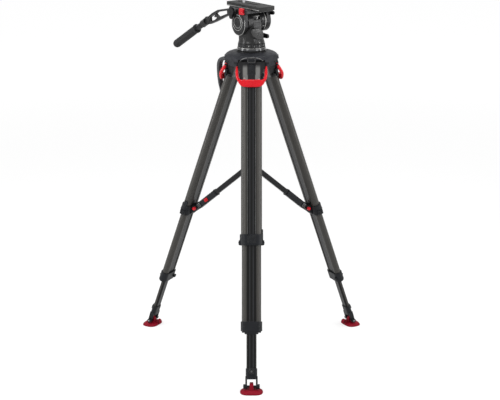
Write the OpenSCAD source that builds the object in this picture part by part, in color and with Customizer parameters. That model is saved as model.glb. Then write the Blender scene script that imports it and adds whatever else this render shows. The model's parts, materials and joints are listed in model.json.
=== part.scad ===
// Film tripod with three two-stage legs, a mid-level spreader, a bowl crown,
// a fluid head and a pan bar. Sizes in millimetres, +Z up, floor at z = 0.
// Every leg piece is drawn once in the leg's own frame: origin on the hinge,
// x across the leg, -y outward, -z down the leg.

/* [Placement] */
// how far the tripod axis stands behind the middle of the footprint
axis_y = 101.5; // [0:0.5:200]
// distance of each leg hinge from the tripod axis
hinge_radius = 54; // [40:1:90]
// height of the ankle axles above the floor
ankle_height = 20; // [14:0.5:40]
// angle of each leg from the vertical
leg_spread = 20; // [5:0.5:35]
// angle the head is turned to, from straight ahead
head_turn = 52; // [0:1:359]

/* [Crown] */
// radius of the half ball under the head
ball_radius = 50; // [37.5:0.5:75]
// height of the bowl rim above the leg hinges
bowl_rise = 33; // [28:0.5:60]
// distance from the axis to the flat faces of the crown skirt
crown_face = 83; // [70:1:110]
// largest radius of the crown skirt
crown_radius = 92.5; // [75:0.5:120]
// distance from the axis to the outer face of each corner post, toward a leg
post_face = 64; // [60:0.5:80]
// distance from the axis to the corner face of each post
post_corner = 76; // [70:0.5:90]
// height of the skirt's lower edge above the leg hinges
skirt_low = 7; // [5:0.5:10]
// radius of the flat rim round the bowl
rim_radius = 60; // [55:0.5:66]
// half of the width of the pocket that takes a leg yoke
pocket_half = 44.3; // [35:0.1:60]
// radius of each leg hinge pin
hinge_pin = 5; // [3:0.5:8]
// radius of the pins that carry each red bail
bail_pin = 3.5; // [2.5:0.25:4]

/* [Leg tubes] */
// width of the upper tube
upper_w = 70; // [50:0.5:100]
// thickness of the upper tube
upper_t = 30; // [20:0.5:45]
// wall of the upper tube
upper_wall = 2.2; // [1:0.1:4]
// width of the middle tube
mid_w = 64.6; // [45:0.1:95]
// thickness of the middle tube
mid_t = 24.6; // [16:0.1:40]
// wall of the middle tube
mid_wall = 2; // [1:0.1:4]
// width of the lower tube
lower_w = 33.5; // [20:0.5:50]
// thickness of the lower tube
lower_t = 15; // [10:0.5:24]
// wall of the lower tube
lower_wall = 1.8; // [1:0.1:3]
// outward shift of the lower tube inside the middle one
lower_shift = 0.8; // [0:0.1:4]
// width of the carry handle
handle_wide = 26; // [16:0.5:28]
// width of the shallow channel down the upper tube
channel_w = 28; // [10:1:40]
// depth of the channel
channel_d = 1.6; // [0.5:0.1:3]
// distance down the leg to the start of the upper tube
upper_top = 58; // [50:1:90]
// length of the upper tube
upper_len = 532; // [400:1:700]
// length of the middle tube
mid_len = 514; // [420:1:640]
// how far the middle tube stands out of the upper one
mid_show = 294; // [60:1:380]
// length of the lower tube
lower_len = 470; // [330:1:560]
// how far the lower tube stands out of the middle one
lower_show = 156; // [60:1:380]
// clearance of a tube in the collar that guides it
guide_gap = 0.08; // [0.02:0.01:0.3]

/* [Spreader] */
// distance of the spreader pivot above the end of the upper tube
pivot_rise = 17; // [10:0.5:30]
// distance of the spreader pivot inward from the middle of the leg
pivot_in = 31; // [22:0.5:45]
// radius of the pin that carries each spreader arm
spreader_pin_r = 4; // [3:0.25:5]
// angle of each spreader arm from the vertical
arm_lean = 50; // [20:1:80]
// radius at which the arms meet the hub
hub_radius = 21; // [15:0.5:40]
// side of the square spreader sleeve
sleeve_side = 22; // [16:0.5:30]
// length of the spreader sleeve from its pivot
sleeve_len = 104; // [60:1:160]
// side of the square spreader rod
rod_side = 18; // [12:0.5:26]
// where the rod starts inside the sleeve, from the pivot
rod_start = 62; // [55:1:90]

/* [Foot] */
// distance from the end of the lower tube to the ankle axle
ankle_drop = 33.7; // [30:0.1:45]
// radius of the ankle axle
ankle_pin = 4; // [3:0.5:6]
// length of the pad across the leg
pad_long = 76; // [50:1:120]
// width of the pad along the leg's direction
pad_short = 56; // [40:1:90]

/* [Head] */
// height of the tilt axis above the bowl rim
tilt_rise = 101; // [90:1:130]
// radius of the pan shaft
pan_shaft = 14; // [10:0.5:20]
// radius of the tilt shaft
tilt_shaft = 14; // [10:0.5:20]
// radius of the tilt drum of the housing
drum_radius = 36.4; // [34:0.1:37]
// radius of the knob under the bowl
clamp_radius = 21; // [16:0.5:24]
// radius of the stud that clamps the half ball
stud_radius = 5; // [4:0.5:8]
// radius of the drag ring around the tilt axis
tilt_ring_radius = 36.5; // [25:0.5:60]
// height of the top of the camera plate above the tilt axis
plate_rise = 58; // [52:0.5:80]
// thickness of the camera plate
plate_thick = 13; // [10:0.5:18]
// length of the camera plate
plate_long = 185; // [120:1:220]
// width of the camera plate
plate_wide = 64; // [50:1:90]
// length of the screw slot in the camera plate
slot_long = 112; // [40:1:130]
// distance of the camera screw behind the tilt axis, negative is behind
screw_x = -40; // [-64:1:30]
// outer radius of the camera screw, three eighths of an inch across
screw_radius = 4.7625; // [3.175:0.0001:4.7625]
// how far the camera screw stands out of the plate
screw_height = 10; // [4:0.5:14]
// distance of the pan bar rosette behind the tilt axis, negative is behind
bar_x = -20; // [-30:1:0]
// height of the pan bar rosette above the tilt axis
bar_rise = 33; // [24:0.5:38]
// radius of the pan bar tube
bar_tube_radius = 10; // [7:0.5:12]
// length of the pan bar tube
bar_tube_len = 145; // [120:1:180]
// radius of the pan bar grip
grip_radius = 14.5; // [12:0.5:18]
// slope of the straight part of the pan bar below the horizontal
bar_drop = 30; // [0:1:60]

/* [Hidden] */
run_gap = 0.05;
bar_y = -61.75;
bar_reach = 142;
bar_fall = 45;
bail_y = -12;
bail_z = -18;
brake_y = -4;
brake_z = -37;
crank_z = -53.5;
button_z = 29;
bar_bolt = 4;
lock_x = 27;
lock_z = 27;
plate_x = -4;
plate_y = -1.5;
yoke_half = pocket_half - 0.5;
bail_half = pocket_half + 8.3;
base_top = 15.4;
drag_top = 28.6;
seat_gap = 0.02;
upper_end = upper_top + upper_len;
mid_end = upper_end + mid_show;
mid_top = mid_end - mid_len;
lower_end = mid_end + lower_show;
lower_top = lower_end - lower_len;
pivot_down = upper_end - pivot_rise;
ankle_down = lower_end + ankle_drop;
hinge_height = ankle_height + ankle_down * cos(leg_spread);
bowl_height = hinge_height + bowl_rise;
tilt_height = bowl_height + tilt_rise;
plate_top = tilt_height + plate_rise;
plate_low = plate_top - plate_thick;
bar_z = tilt_height + bar_rise;
ankle_radius = hinge_radius + ankle_down * sin(leg_spread);
arm_radius = hinge_radius + pivot_down * sin(leg_spread) - pivot_in * cos(leg_spread);
arm_height = hinge_height - pivot_down * cos(leg_spread) - pivot_in * sin(leg_spread);
arm_len = (arm_radius - hub_radius) / sin(arm_lean);
hub_height = arm_height + arm_len * cos(arm_lean);
black = [0.06, 0.065, 0.07];
coal = [0.13, 0.135, 0.14];
stone = [0.33, 0.33, 0.33];
carbon = [0.16, 0.17, 0.18];
red = [0.82, 0.08, 0.1];
dark_red = [0.5, 0.02, 0.09];
steel = [0.7, 0.7, 0.72];

// ---- frames ----
module at_axis() translate([0, axis_y, 0]) children();
module at_leg(k)
  at_axis() rotate([0, 0, 120 * k]) translate([0, -hinge_radius, hinge_height])
    rotate([-leg_spread, 0, 0]) children();
module at_foot(k)
  at_axis() rotate([0, 0, 120 * k]) translate([0, -ankle_radius, ankle_height]) children();
module at_arm(k)
  at_axis() rotate([0, 0, 120 * k]) translate([0, -arm_radius, arm_height])
    rotate([-arm_lean, 0, 0]) children();
module at_head() at_axis() rotate([0, 0, -head_turn]) children();
module at_bowl() at_axis() translate([0, 0, bowl_height]) children();
module at_tilt() at_head() translate([0, 0, tilt_height]) children();
module at_bar()
  at_tilt() translate([bar_x - bar_reach, bar_y, bar_rise - bar_fall]) rotate([0, -90 - bar_drop, 0]) children();

// ---- shared shapes ----
module across(w) rotate([90, 0, 90]) translate([0, 0, -w / 2]) linear_extrude(w) children();
module facing(y0, y1) translate([0, y1, 0]) rotate([90, 0, 0]) linear_extrude(y1 - y0) children();
module obround(w, t) {
  square([w - t, t], center = true);
  for (s = [-1, 1]) translate([s * (w - t) / 2, 0]) circle(d = t, $fn = 64);
}
module channelled(w, t, cw)
  difference() {
    obround(w, t);
    for (s = [-1, 1]) translate([0, s * t / 2]) square([cw, 2 * channel_d], center = true);
  }
module rounded_bar(w, t, r) {
  square([w - 2 * r, t], center = true);
  square([w, t - 2 * r], center = true);
  for (i = [-1, 1], j = [-1, 1]) translate([i * (w / 2 - r), j * (t / 2 - r)]) circle(r, $fn = 32);
}
function polar(a) = [cos(a), sin(a)];
function corner(a, d1, d2, s) = d1 * polar(a) + s * (d2 - d1 / 2) / sin(60) * polar(a + 90);
module six_sided(face, edge)
  polygon([for (i = [0:2], s = [-1, 1]) corner(-90 + 120 * i, face, edge, s)]);
module mid_outline(g = 0) channelled(mid_w + 2 * g, mid_t + 2 * g, channel_w + 2 * upper_wall + 1 - 2 * g);
module lower_outline(g = 0) translate([0, -lower_shift]) obround(lower_w + 2 * g, lower_t + 2 * g);

// ---- crown ----
module crown() color(black) at_axis() translate([0, 0, hinge_height]) difference() {
  union() {
    intersection() {
      rotate_extrude($fn = 96) polygon([
        [0, skirt_low], [crown_radius - 4.5, skirt_low], [crown_radius, skirt_low + 1.5],
        [crown_radius, skirt_low + 4], [crown_radius - 2.5, bowl_rise - 15], [crown_radius - 6.5, bowl_rise - 9.5],
        [crown_radius - 12.5, bowl_rise - 5], [crown_radius - 20.5, bowl_rise - 2], [rim_radius, bowl_rise],
        [0, bowl_rise]]);
      linear_extrude(bowl_rise + 5) six_sided(crown_face, crown_face);
    }
    translate([0, 0, -13]) linear_extrude(skirt_low + 21) six_sided(post_face, post_corner);
    for (k = [0:2]) rotate([0, 0, 120 * k]) translate([-14.5, -crown_face - 1, 5]) cube([29, 5, 20]);
  }
  translate([0, 0, bowl_rise]) sphere(r = ball_radius + run_gap, $fn = 96);
  translate([0, 0, -29]) cylinder(r = ball_radius + 0.6, h = bowl_rise + 12, $fn = 96);
  for (k = [0:2]) rotate([0, 0, 120 * k]) {
    translate([-pocket_half, 4 - crown_face, -29]) cube([2 * pocket_half, crown_face - 40, 45]);
    translate([-pocket_half, -crown_face - 27, -29]) cube([2 * pocket_half, 31.1, 34]);
    for (s = [-1, 1]) translate([s * (pocket_half + 14.5) / 2, -crown_face - 12, 10.5])
      cube([pocket_half - 14.5 + 0.02, 32, 11], center = true);
    translate([-9.5, -crown_face - 2, 9.5]) cube([19, 3, 7]);
    translate([0, -hinge_radius, 0]) rotate([0, 90, 0])
      cylinder(r = hinge_pin + seat_gap, h = 112, center = true, $fn = 48);
  }
}

module leg_hinge_pins() color(steel) at_axis()
  for (k = [0:2]) rotate([0, 0, 120 * k]) translate([0, -hinge_radius, hinge_height])
    rotate([0, 90, 0]) cylinder(r = hinge_pin, h = 111.4, center = true, $fn = 48);

// ---- leg pieces ----
module leg_yoke(k) color(stone) at_leg(k) difference() {
  union() {
    intersection() {
      facing(-30, 20) polygon([[-yoke_half, 12], [yoke_half, 12], [yoke_half, -16], [yoke_half - 13.8, -50],
        [13.8 - yoke_half, -50], [-yoke_half, -16]]);
      across(90) polygon([[-23, 2], [-22.6, -14], [-16.5, -50], [16.5, -50], [15, -30], [11, 0], [0, 4], [-12, 4]]);
    }
    rotate([0, 90, 0]) cylinder(r = hinge_pin + 6, h = 2 * pocket_half - 1, center = true, $fn = 64);
    translate([0, 0, -upper_top]) linear_extrude(8) obround(upper_w + 3, upper_t + 3);
    translate([0, 0, -upper_top - 32]) linear_extrude(34)
      channelled(upper_w - 2 * upper_wall - 0.04, upper_t - 2 * upper_wall - 0.04, channel_w + 2 * upper_wall + 0.04);
    for (s = [-1, 1]) translate([s * (pocket_half + 1.7), bail_y, bail_z]) rotate([0, 90, 0])
      cylinder(r = bail_pin, h = 14, center = true, $fn = 32);
  }
  rotate([0, 90, 0]) cylinder(r = hinge_pin + run_gap, h = 100, center = true, $fn = 48);
  translate([0, -23, 0]) rotate([9, 0, 0]) translate([-15.5, -6, -42]) cube([31, 9, 34]);
}

module leg_bail(k) color(red) at_leg(k) difference() {
  intersection() {
    facing(-40, 0) difference() {
      polygon([[-bail_half, -9], [bail_half, -9], [bail_half, -43], [bail_half - 2, -57], [bail_half - 7.1, -68],
        [bail_half - 14.1, -77], [bail_half - 21.6, -83], [21.6 - bail_half, -83], [14.1 - bail_half, -77],
        [7.1 - bail_half, -68], [2 - bail_half, -57], [-bail_half, -43]]);
      translate([0, -6]) square([2 * bail_half - 16, 74], center = true);
      translate([0, -20]) polygon([[8 - bail_half, 0], [bail_half - 8, 0], [bail_half - 8, -23],
        [bail_half - 10, -30], [bail_half - 14.6, -35], [14.6 - bail_half, -35], [10 - bail_half, -30],
        [8 - bail_half, -23]]);
    }
    across(110) polygon([[-16.5, -12.5], [-10, -12.5], [-7.5, -17], [-7.5, -24], [-11, -36], [-17.6, -52],
      [-17.6, -66], [-19, -83], [-25.5, -83], [-26.4, -70], [-24.6, -52], [-21.5, -36], [-17.8, -22]]);
  }
  translate([0, bail_y, bail_z]) rotate([0, 90, 0]) cylinder(r = bail_pin + run_gap, h = 120, center = true, $fn = 32);
}

module upper_tube(k) color(carbon) at_leg(k) translate([0, 0, -upper_end])
  linear_extrude(upper_end - upper_top) difference() {
    channelled(upper_w, upper_t, channel_w);
    channelled(upper_w - 2 * upper_wall, upper_t - 2 * upper_wall, channel_w + 2 * upper_wall);
  }

module upper_collar(k) color(black) at_leg(k) difference() {
  union() {
    translate([0, 0, -upper_end - 16]) linear_extrude(34) obround(upper_w + 8, upper_t + 8);
    translate([0, 0, -upper_end - 19]) linear_extrude(4) obround(upper_w + 5, upper_t + 5);
    for (s = [-1, 1]) translate([s * (upper_w / 2 + 4), 0, -upper_end - 10]) cube([7, 18, 16], center = true);
    translate([upper_w / 2 + 1.5, 0, 26 - upper_end]) cube([4, 12, 17], center = true);
    for (s = [-1, 1]) translate([s * 15.25, 0, 0]) across(4.7) union() {
      translate([pivot_in, -pivot_down]) circle(r = spreader_pin_r + 4.5, $fn = 48);
      polygon([[upper_t / 2 - 1, -pivot_down - 5], [upper_t / 2 - 1, -upper_end - 14], [upper_t / 2 + 5, -upper_end - 14],
        [pivot_in + 5, -pivot_down - 8], [pivot_in - 1, 7 - pivot_down], [pivot_in - 9, -pivot_down - 1]]);
    }
  }
  translate([0, 0, -upper_end]) linear_extrude(40) channelled(upper_w + 0.04, upper_t + 0.04, channel_w - 0.04);
  translate([0, 0, -upper_end - 30]) linear_extrude(40) mid_outline(guide_gap);
  translate([-15, -upper_t / 2 - 5, -upper_end - 12]) cube([30, 2.6, 26]);
  translate([0, pivot_in, -pivot_down]) rotate([0, 90, 0])
    cylinder(r = spreader_pin_r + seat_gap, h = 60, center = true, $fn = 48);
}

module spreader_pin(k) color(red) at_leg(k) translate([0, pivot_in, -pivot_down]) rotate([0, 90, 0])
  rotate_extrude($fn = 48) polygon([[0, -29.5], [spreader_pin_r - 1, -29.5], [spreader_pin_r + 1, -28.2],
    [spreader_pin_r + 2, -26], [spreader_pin_r + 2, -20], [spreader_pin_r + 1, -17.9], [spreader_pin_r, -17.9],
    [spreader_pin_r, 17.9], [spreader_pin_r + 1, 17.9], [spreader_pin_r + 2, 20], [spreader_pin_r + 2, 26],
    [spreader_pin_r + 1, 28.2], [spreader_pin_r - 1, 29.5], [0, 29.5]]);

module mid_tube(k) color(carbon) at_leg(k) translate([0, 0, -mid_end])
  linear_extrude(mid_end - mid_top) difference() {
    mid_outline();
    channelled(mid_w - 2 * mid_wall, mid_t - 2 * mid_wall, channel_w + 2 * upper_wall + 1 + 2 * mid_wall);
  }

module mid_collar(k) color(black) at_leg(k) difference() {
  union() {
    translate([0, 0, -mid_end - 8]) linear_extrude(32) obround(mid_w + 6.9, mid_t + 7.4);
    translate([0, -1, -mid_end - 13]) linear_extrude(6) obround(mid_w - 0.6, mid_t + 1.4);
    translate([0, -1.5, -mid_end - 18]) linear_extrude(6) obround(lower_w + 12.5, lower_t + 7);
    translate([-24, mid_t / 2 + 2.7, 4 - mid_end]) rotate([-90, 0, 0]) cylinder(r = 5, h = 6, $fn = 32);
  }
  translate([0, 0, -mid_end]) linear_extrude(40) mid_outline(seat_gap);
  translate([0, 0, -mid_end - 36]) linear_extrude(60) lower_outline(guide_gap);
  for (s = [-1, 1]) translate([s * 24, -mid_t / 2 - 4.7, 8 - mid_end]) rotate([90, 0, 0])
    cylinder(r = 2.2, h = 4, center = true, $fn = 24);
}

module lower_tube(k) color(carbon) at_leg(k) translate([0, 0, -lower_end])
  linear_extrude(lower_end - lower_top) difference() {
    lower_outline();
    lower_outline(-lower_wall);
  }

// ---- foot ----
module foot_fork(k) color(black) at_leg(k) difference() {
  union() {
    translate([0, -lower_shift, -lower_end - 10]) linear_extrude(36) obround(lower_w + 5, lower_t + 5);
    translate([0, -lower_t / 2 - 1.5, 16 - lower_end]) rotate([90, 0, 0]) cylinder(r = 11.5, h = 5, $fn = 48);
    for (s = [-1, 1]) translate([s * 17.5, 0, 0]) across(6) union() {
      translate([0, -ankle_down]) circle(r = 7.5, $fn = 48);
      polygon([[-9, -lower_end], [7, -lower_end], [7.5, -ankle_down], [-7.5, -ankle_down]]);
    }
    translate([0, 0, -ankle_down]) rotate([0, 90, 0]) cylinder(r = ankle_pin, h = 46, center = true, $fn = 48);
    for (s = [-1, 1]) translate([s * 23.6, 0, -ankle_down]) rotate([0, 90, 0])
      cylinder(r = 7.5, h = 6.4, center = true, $fn = 48);
  }
  translate([0, 0, -lower_end]) linear_extrude(40) lower_outline(seat_gap);
}

module foot_pad(k) color(dark_red) at_foot(k) {
  difference() {
    union() {
      translate([0, 0, -ankle_height]) intersection() {
        linear_extrude(30) translate([0, -2]) rounded_bar(pad_long, pad_short, 27.9);
        translate([0, -2, -86]) sphere(r = 97.5, $fn = 96);
      }
      across(13) union() {
        circle(r = 11, $fn = 48);
        polygon([[-11, 0], [11, 0], [16, 5 - ankle_height], [-16, 5 - ankle_height]]);
      }
      across(12) difference() {
        translate([27, -5]) circle(r = 9, $fn = 40);
        translate([27.5, -6]) circle(r = 5.5, $fn = 40);
        translate([24, -16]) square([14, 12]);
      }
    }
    rotate([0, 90, 0]) cylinder(r = ankle_pin + run_gap, h = 40, center = true, $fn = 48);
  }
}

// ---- carry handle on the left leg ----
module carry_handle() color(coal) at_leg(2) difference() {
  across(handle_wide) polygon([[-15, -118], [-17, -140], [-24, -138], [-38, -112], [-51.5, -84], [-61, -60], [-65.5, -40],
    [-66.5, -30], [-63, -21], [-56, -16.5], [-44, -12.5], [-38, -10], [-22.9, -3.8], [-22.9, -8.4], [-18.6, -8.7],
    [-17.8, -14], [-30, -18], [-42, -23], [-51, -29], [-54, -37], [-49, -56], [-40, -79], [-27, -105]]);
  for (z = [-100, -60, -35]) translate([-4, -75, z]) cube([8, 14, 3]);
}

// ---- spreader ----
module spreader_sleeve(k) color(black) at_arm(k) difference() {
  union() {
    translate([0, 0, 10]) linear_extrude(sleeve_len - 10) rounded_bar(sleeve_side, sleeve_side, 4);
    across(25.2) circle(r = spreader_pin_r + 4.5, $fn = 48);
    translate([0, 0, 6]) cube([sleeve_side, 14, 12], center = true);
    for (s = [-1, 1]) translate([s * 12, 0, 18]) cube([4, 13, 12], center = true);
  }
  rotate([0, 90, 0]) cylinder(r = spreader_pin_r + run_gap, h = 60, center = true, $fn = 48);
  translate([0, 0, 15]) linear_extrude(sleeve_len) rounded_bar(rod_side + 0.16, rod_side + 0.16, 3);
  translate([0, 0, 18]) rotate([0, 90, 0]) cylinder(r = 2.5, h = 40, center = true, $fn = 32);
  translate([11, 0, 55]) cube([6, 12.4, 15.4], center = true);
}

module spreader_button(k) color(red) at_arm(k) translate([11.9, 0, 55]) cube([2.6, 12, 15], center = true);

module spreader_rod(k) color(carbon) at_arm(k) difference() {
  union() {
    translate([0, 0, rod_start]) linear_extrude(arm_len - 11 - rod_start) rounded_bar(rod_side, rod_side, 3);
    translate([0, 0, arm_len]) across(16) circle(r = 8, $fn = 48);
    translate([0, 0, arm_len - 8]) cube([16, 12, 12], center = true);
  }
  translate([0, 0, rod_start - 1]) linear_extrude(arm_len - 24 - rod_start) rounded_bar(rod_side - 4, rod_side - 4, 2);
  translate([0, 0, arm_len]) rotate([0, 90, 0]) cylinder(r = 5.2, h = 30, center = true, $fn = 48);
}

module spreader_hub() color(coal) at_axis() translate([0, 0, hub_height]) {
  cylinder(r = 11.5, h = 24, center = true, $fn = 48);
  linear_extrude(14.4, center = true) for (k = [0:2]) rotate(120 * k) for (s = [-1, 1])
    translate([s * 10.5 - 1.7, -15]) square([3.4, 11]);
  for (k = [0:2]) rotate([0, 0, 120 * k]) {
    for (s = [-1, 1]) translate([s * 10.5, 0, 0]) across(3.4) union() {
      translate([-hub_radius, 0]) circle(r = 8, $fn = 48);
      translate([-hub_radius, -8]) square([hub_radius - 13, 16]);
    }
    translate([0, -hub_radius, 0]) rotate([0, 90, 0]) cylinder(r = 3.4, h = 24, center = true, $fn = 48);
  }
}

// ---- head ----
module half_ball() color(steel) at_bowl() difference() {
  intersection() {
    sphere(r = ball_radius, $fn = 96);
    translate([-60, -60, -28]) cube([120, 120, 31]);
  }
  translate([0, 0, -32]) cylinder(r = stud_radius + seat_gap, h = 28, $fn = 48);
}

module ball_clamp_knob() color(black) at_bowl() difference() {
  union() {
    translate([0, 0, -77]) cylinder(r = stud_radius, h = 72, $fn = 48);
    translate([0, 0, -36]) cylinder(r1 = 14, r2 = 30, h = 8, $fn = 64);
    translate([0, 0, -94]) cylinder(r = clamp_radius, h = 40, $fn = 64);
    for (i = [0:5]) rotate([0, 0, 60 * i]) translate([clamp_radius - 3, 0, -96]) cylinder(r = 6, h = 44, $fn = 32);
  }
  translate([0, 0, -102]) cylinder(r = 9, h = 12, $fn = 48);
}

module pan_base() color(coal) at_bowl() {
  rotate_extrude($fn = 96) polygon([[0, 3], [46, 3], [48.5, 5], [48.5, 11], [47.5, base_top - 1.8],
    [46.8, base_top], [38, base_top], [38, drag_top], [pan_shaft, drag_top], [pan_shaft, 58], [0, 58]]);
}

module pan_drag_ring() color(black) at_bowl() difference() {
  union() {
    translate([0, 0, base_top + 0.4]) cylinder(r1 = 45.8, r2 = 44.8, h = drag_top - base_top - 0.6, $fn = 96);
    for (i = [0:23]) rotate([0, 0, 15 * i]) translate([45.4, 0, drag_top - 6.6]) cube([1.6, 5, 9], center = true);
  }
  translate([0, 0, 8]) cylinder(r = 38 + run_gap, h = 30, $fn = 96);
}

module pan_housing() color(coal) at_head() difference() {
  union() {
    translate([0, 0, bowl_height + drag_top]) rotate_extrude($fn = 96)
      polygon([[0, 0.4], [44.4, 0.4], [44.4, 3.4], [41, 12.4], [39.5, 21.4], [36, 30.4], [0, 30.4]]);
    translate([0, 12, tilt_height]) rotate([90, 0, 0]) cylinder(r = drum_radius, h = 51, $fn = 96);
    intersection() {
      translate([-34, -39, bowl_height + 38]) cube([72, 51, tilt_rise - 38]);
      translate([0, 0, bowl_height + 18]) cylinder(r = 43, h = tilt_rise + 20, $fn = 96);
    }
    translate([0, 25, tilt_height]) rotate([90, 0, 0]) cylinder(r = 26, h = 25.2, center = true, $fn = 96);
    translate([0, 0, tilt_height]) rotate([90, 0, 0]) cylinder(r = tilt_shaft, h = 95, center = true, $fn = 64);
    translate([4, 20, tilt_height + crank_z]) rotate([-90, 0, 0]) cylinder(r = 6.5, h = 22, $fn = 32);
    translate([4, 20, tilt_height + crank_z]) rotate([-90, 0, 0]) cylinder(r = 4, h = 34, $fn = 32);
    translate([30, brake_y, tilt_height + brake_z]) rotate([0, 90, 0]) cylinder(r = 5, h = 19, $fn = 32);
    translate([30, brake_y, tilt_height + brake_z]) rotate([0, 90, 0]) cylinder(r = 9, h = 11.4, $fn = 48);
  }
  translate([0, 0, bowl_height + 18]) cylinder(r = pan_shaft + run_gap, h = 41, $fn = 64);
  translate([0, 0, tilt_height]) rotate([90, 0, 0]) cylinder(r = tilt_shaft / 2, h = 120, center = true, $fn = 48);
  translate([29, -17, tilt_height + 8]) cube([12, 27, 12]);
}

module pan_brake_lever() color(stone) at_tilt() difference() {
  translate([41.8, 0, 0]) rotate([90, 0, 90]) linear_extrude(5.6) translate([brake_y, brake_z]) polygon([
    [-31, 14], [-29, 5], [-25.5, -5], [-20, -11], [-11, -16.5], [2, -20], [12, -21], [17.5, -18.5], [19, -12],
    [18, 4], [13, 11.5], [4, 16.5], [-5, 19], [-21, 19], [-28, 17.5]]);
  translate([30, brake_y, brake_z]) rotate([0, 90, 0]) cylinder(r = 5 + run_gap, h = 30, $fn = 32);
}

module tilt_brake_lever() color(black) at_tilt() translate([4, 0, crank_z]) difference() {
  union() {
    translate([0, 43.6, 0]) rotate([-90, 0, 0]) cylinder(r = 8.5, h = 9, $fn = 48);
    translate([0, 45, -5]) cube([20, 7, 10]);
    translate([20, 45, 0]) rotate([-90, 0, 0]) cylinder(r = 7, h = 7, $fn = 32);
  }
  translate([0, 30, 0]) rotate([-90, 0, 0]) cylinder(r = 4 + run_gap, h = 30, $fn = 32);
}

module cheek_arm(r) polygon([[0.5 - r, 6], [r - 0.5, 6], [r - 4, 27], [r - 1, plate_rise - plate_thick - 5],
  [1 - r, plate_rise - plate_thick - 5], [4 - r, 27]]);
module cradle() color(coal) at_tilt() difference() {
  union() {
    translate([0, -40, 0]) rotate([90, 0, 0]) linear_extrude(17) union() {
      translate([0, -8]) circle(r = 33.5, $fn = 96);
      translate([-33.5, -8]) square([67, 20]);
      cheek_arm(35);
    }
    translate([0, 54, 0]) rotate([90, 0, 0]) linear_extrude(16) union() {
      circle(r = 37, $fn = 96);
      cheek_arm(37);
    }
    translate([-50, -57, plate_rise - plate_thick - 11]) cube([98, 111, 10.9]);
    translate([bar_x, -50, bar_rise]) rotate([90, 0, 0]) cylinder(r = 14.7, h = 7.2, $fn = 64);
  }
  rotate([90, 0, 0]) cylinder(r = tilt_shaft + run_gap, h = 95.6, center = true, $fn = 64);
  translate([0, 38, 0]) rotate([90, 0, 0]) cylinder(r = drum_radius + 0.8, h = 78, $fn = 96);
  translate([-80, plate_y, plate_rise - plate_thick]) rotate([90, 0, 90]) linear_extrude(160)
    polygon([[1.5 - plate_wide / 2, -5], [plate_wide / 2 - 1.5, -5], [plate_wide / 2 - 3.5, 1], [3.5 - plate_wide / 2, 1]]);
  translate([12, -58, button_z - 0.3]) cube([22, 7, 40]);
  translate([bar_x, -44, bar_rise]) rotate([90, 0, 0]) cylinder(r = bar_bolt + run_gap, h = 30, $fn = 32);
}

module tilt_drag_ring() color(black) at_tilt() difference() {
  union() {
    translate([0, 36.6, 0]) rotate([90, 0, 0]) cylinder(r = tilt_ring_radius - 0.7, h = 23.4, $fn = 96);
    translate([0, 31, 0]) rotate([90, 0, 0]) cylinder(r = tilt_ring_radius, h = 12, $fn = 96);
  }
  translate([0, 40, 0]) rotate([90, 0, 0]) cylinder(r = 26 + run_gap, h = 40, $fn = 96);
}

module camera_plate() color(coal) at_head() translate([plate_x, plate_y, plate_low]) difference() {
  union() {
    linear_extrude(plate_thick) rounded_bar(plate_long, plate_wide, 6);
    rotate([90, 0, 90]) translate([0, 0, -plate_long * 0.4]) linear_extrude(plate_long * 0.8) polygon([
      [1.8 - plate_wide / 2, -4.8], [plate_wide / 2 - 1.8, -4.8], [plate_wide / 2 - 3.6, 0.2],
      [3.6 - plate_wide / 2, 0.2]]);
  }
  translate([-12 - slot_long / 2, -screw_radius - 0.8, -8]) cube([slot_long, 2 * screw_radius + 1.6, plate_thick + 20]);
  translate([-12 - slot_long / 2, -11, -8]) cube([slot_long, 22, 13]);
  for (s = [-1, 1]) translate([0, s * (plate_wide / 2 - 8), plate_thick - 1]) linear_extrude(3)
    rounded_bar(plate_long - 24, 5, 2.4);
}

module camera_screw() color(steel) at_head() translate([screw_x, plate_y, plate_low]) {
  translate([0, 0, plate_thick]) cylinder(r = screw_radius, h = screw_height, $fn = 48);
  translate([0, 0, 2]) cylinder(r = screw_radius - 0.6, h = plate_thick - 1, $fn = 48);
  translate([0, 0, -4]) cylinder(r = 10, h = 8.9, $fn = 48);
}

module plate_lock_lever() color(black) at_tilt() translate([lock_x, 0, lock_z]) {
  translate([0, 54.4, 0]) rotate([-90, 0, 0]) cylinder(r = 8, h = 8, $fn = 48);
  translate([0, 56, -4]) cube([15, 6, 8]);
  translate([15, 56, 0]) rotate([-90, 0, 0]) cylinder(r = 6.5, h = 6, $fn = 32);
}

module plate_release_button() color(red) at_tilt() translate([12.3, -64, button_z]) cube([21.4, 9.5, 21.7]);

// ---- pan bar ----
module pan_bar_knob() color(black) at_tilt() translate([bar_x, -66.3, bar_rise]) {
  rotate([90, 0, 0]) linear_extrude(8) union() {
    circle(r = 12.5, $fn = 64);
    for (s = [-1, 1]) translate([0, s * 14]) circle(r = 8, $fn = 48);
    square([16, 28], center = true);
  }
  translate([0, 22, 0]) rotate([90, 0, 0]) cylinder(r = bar_bolt, h = 23, $fn = 32);
}

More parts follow.
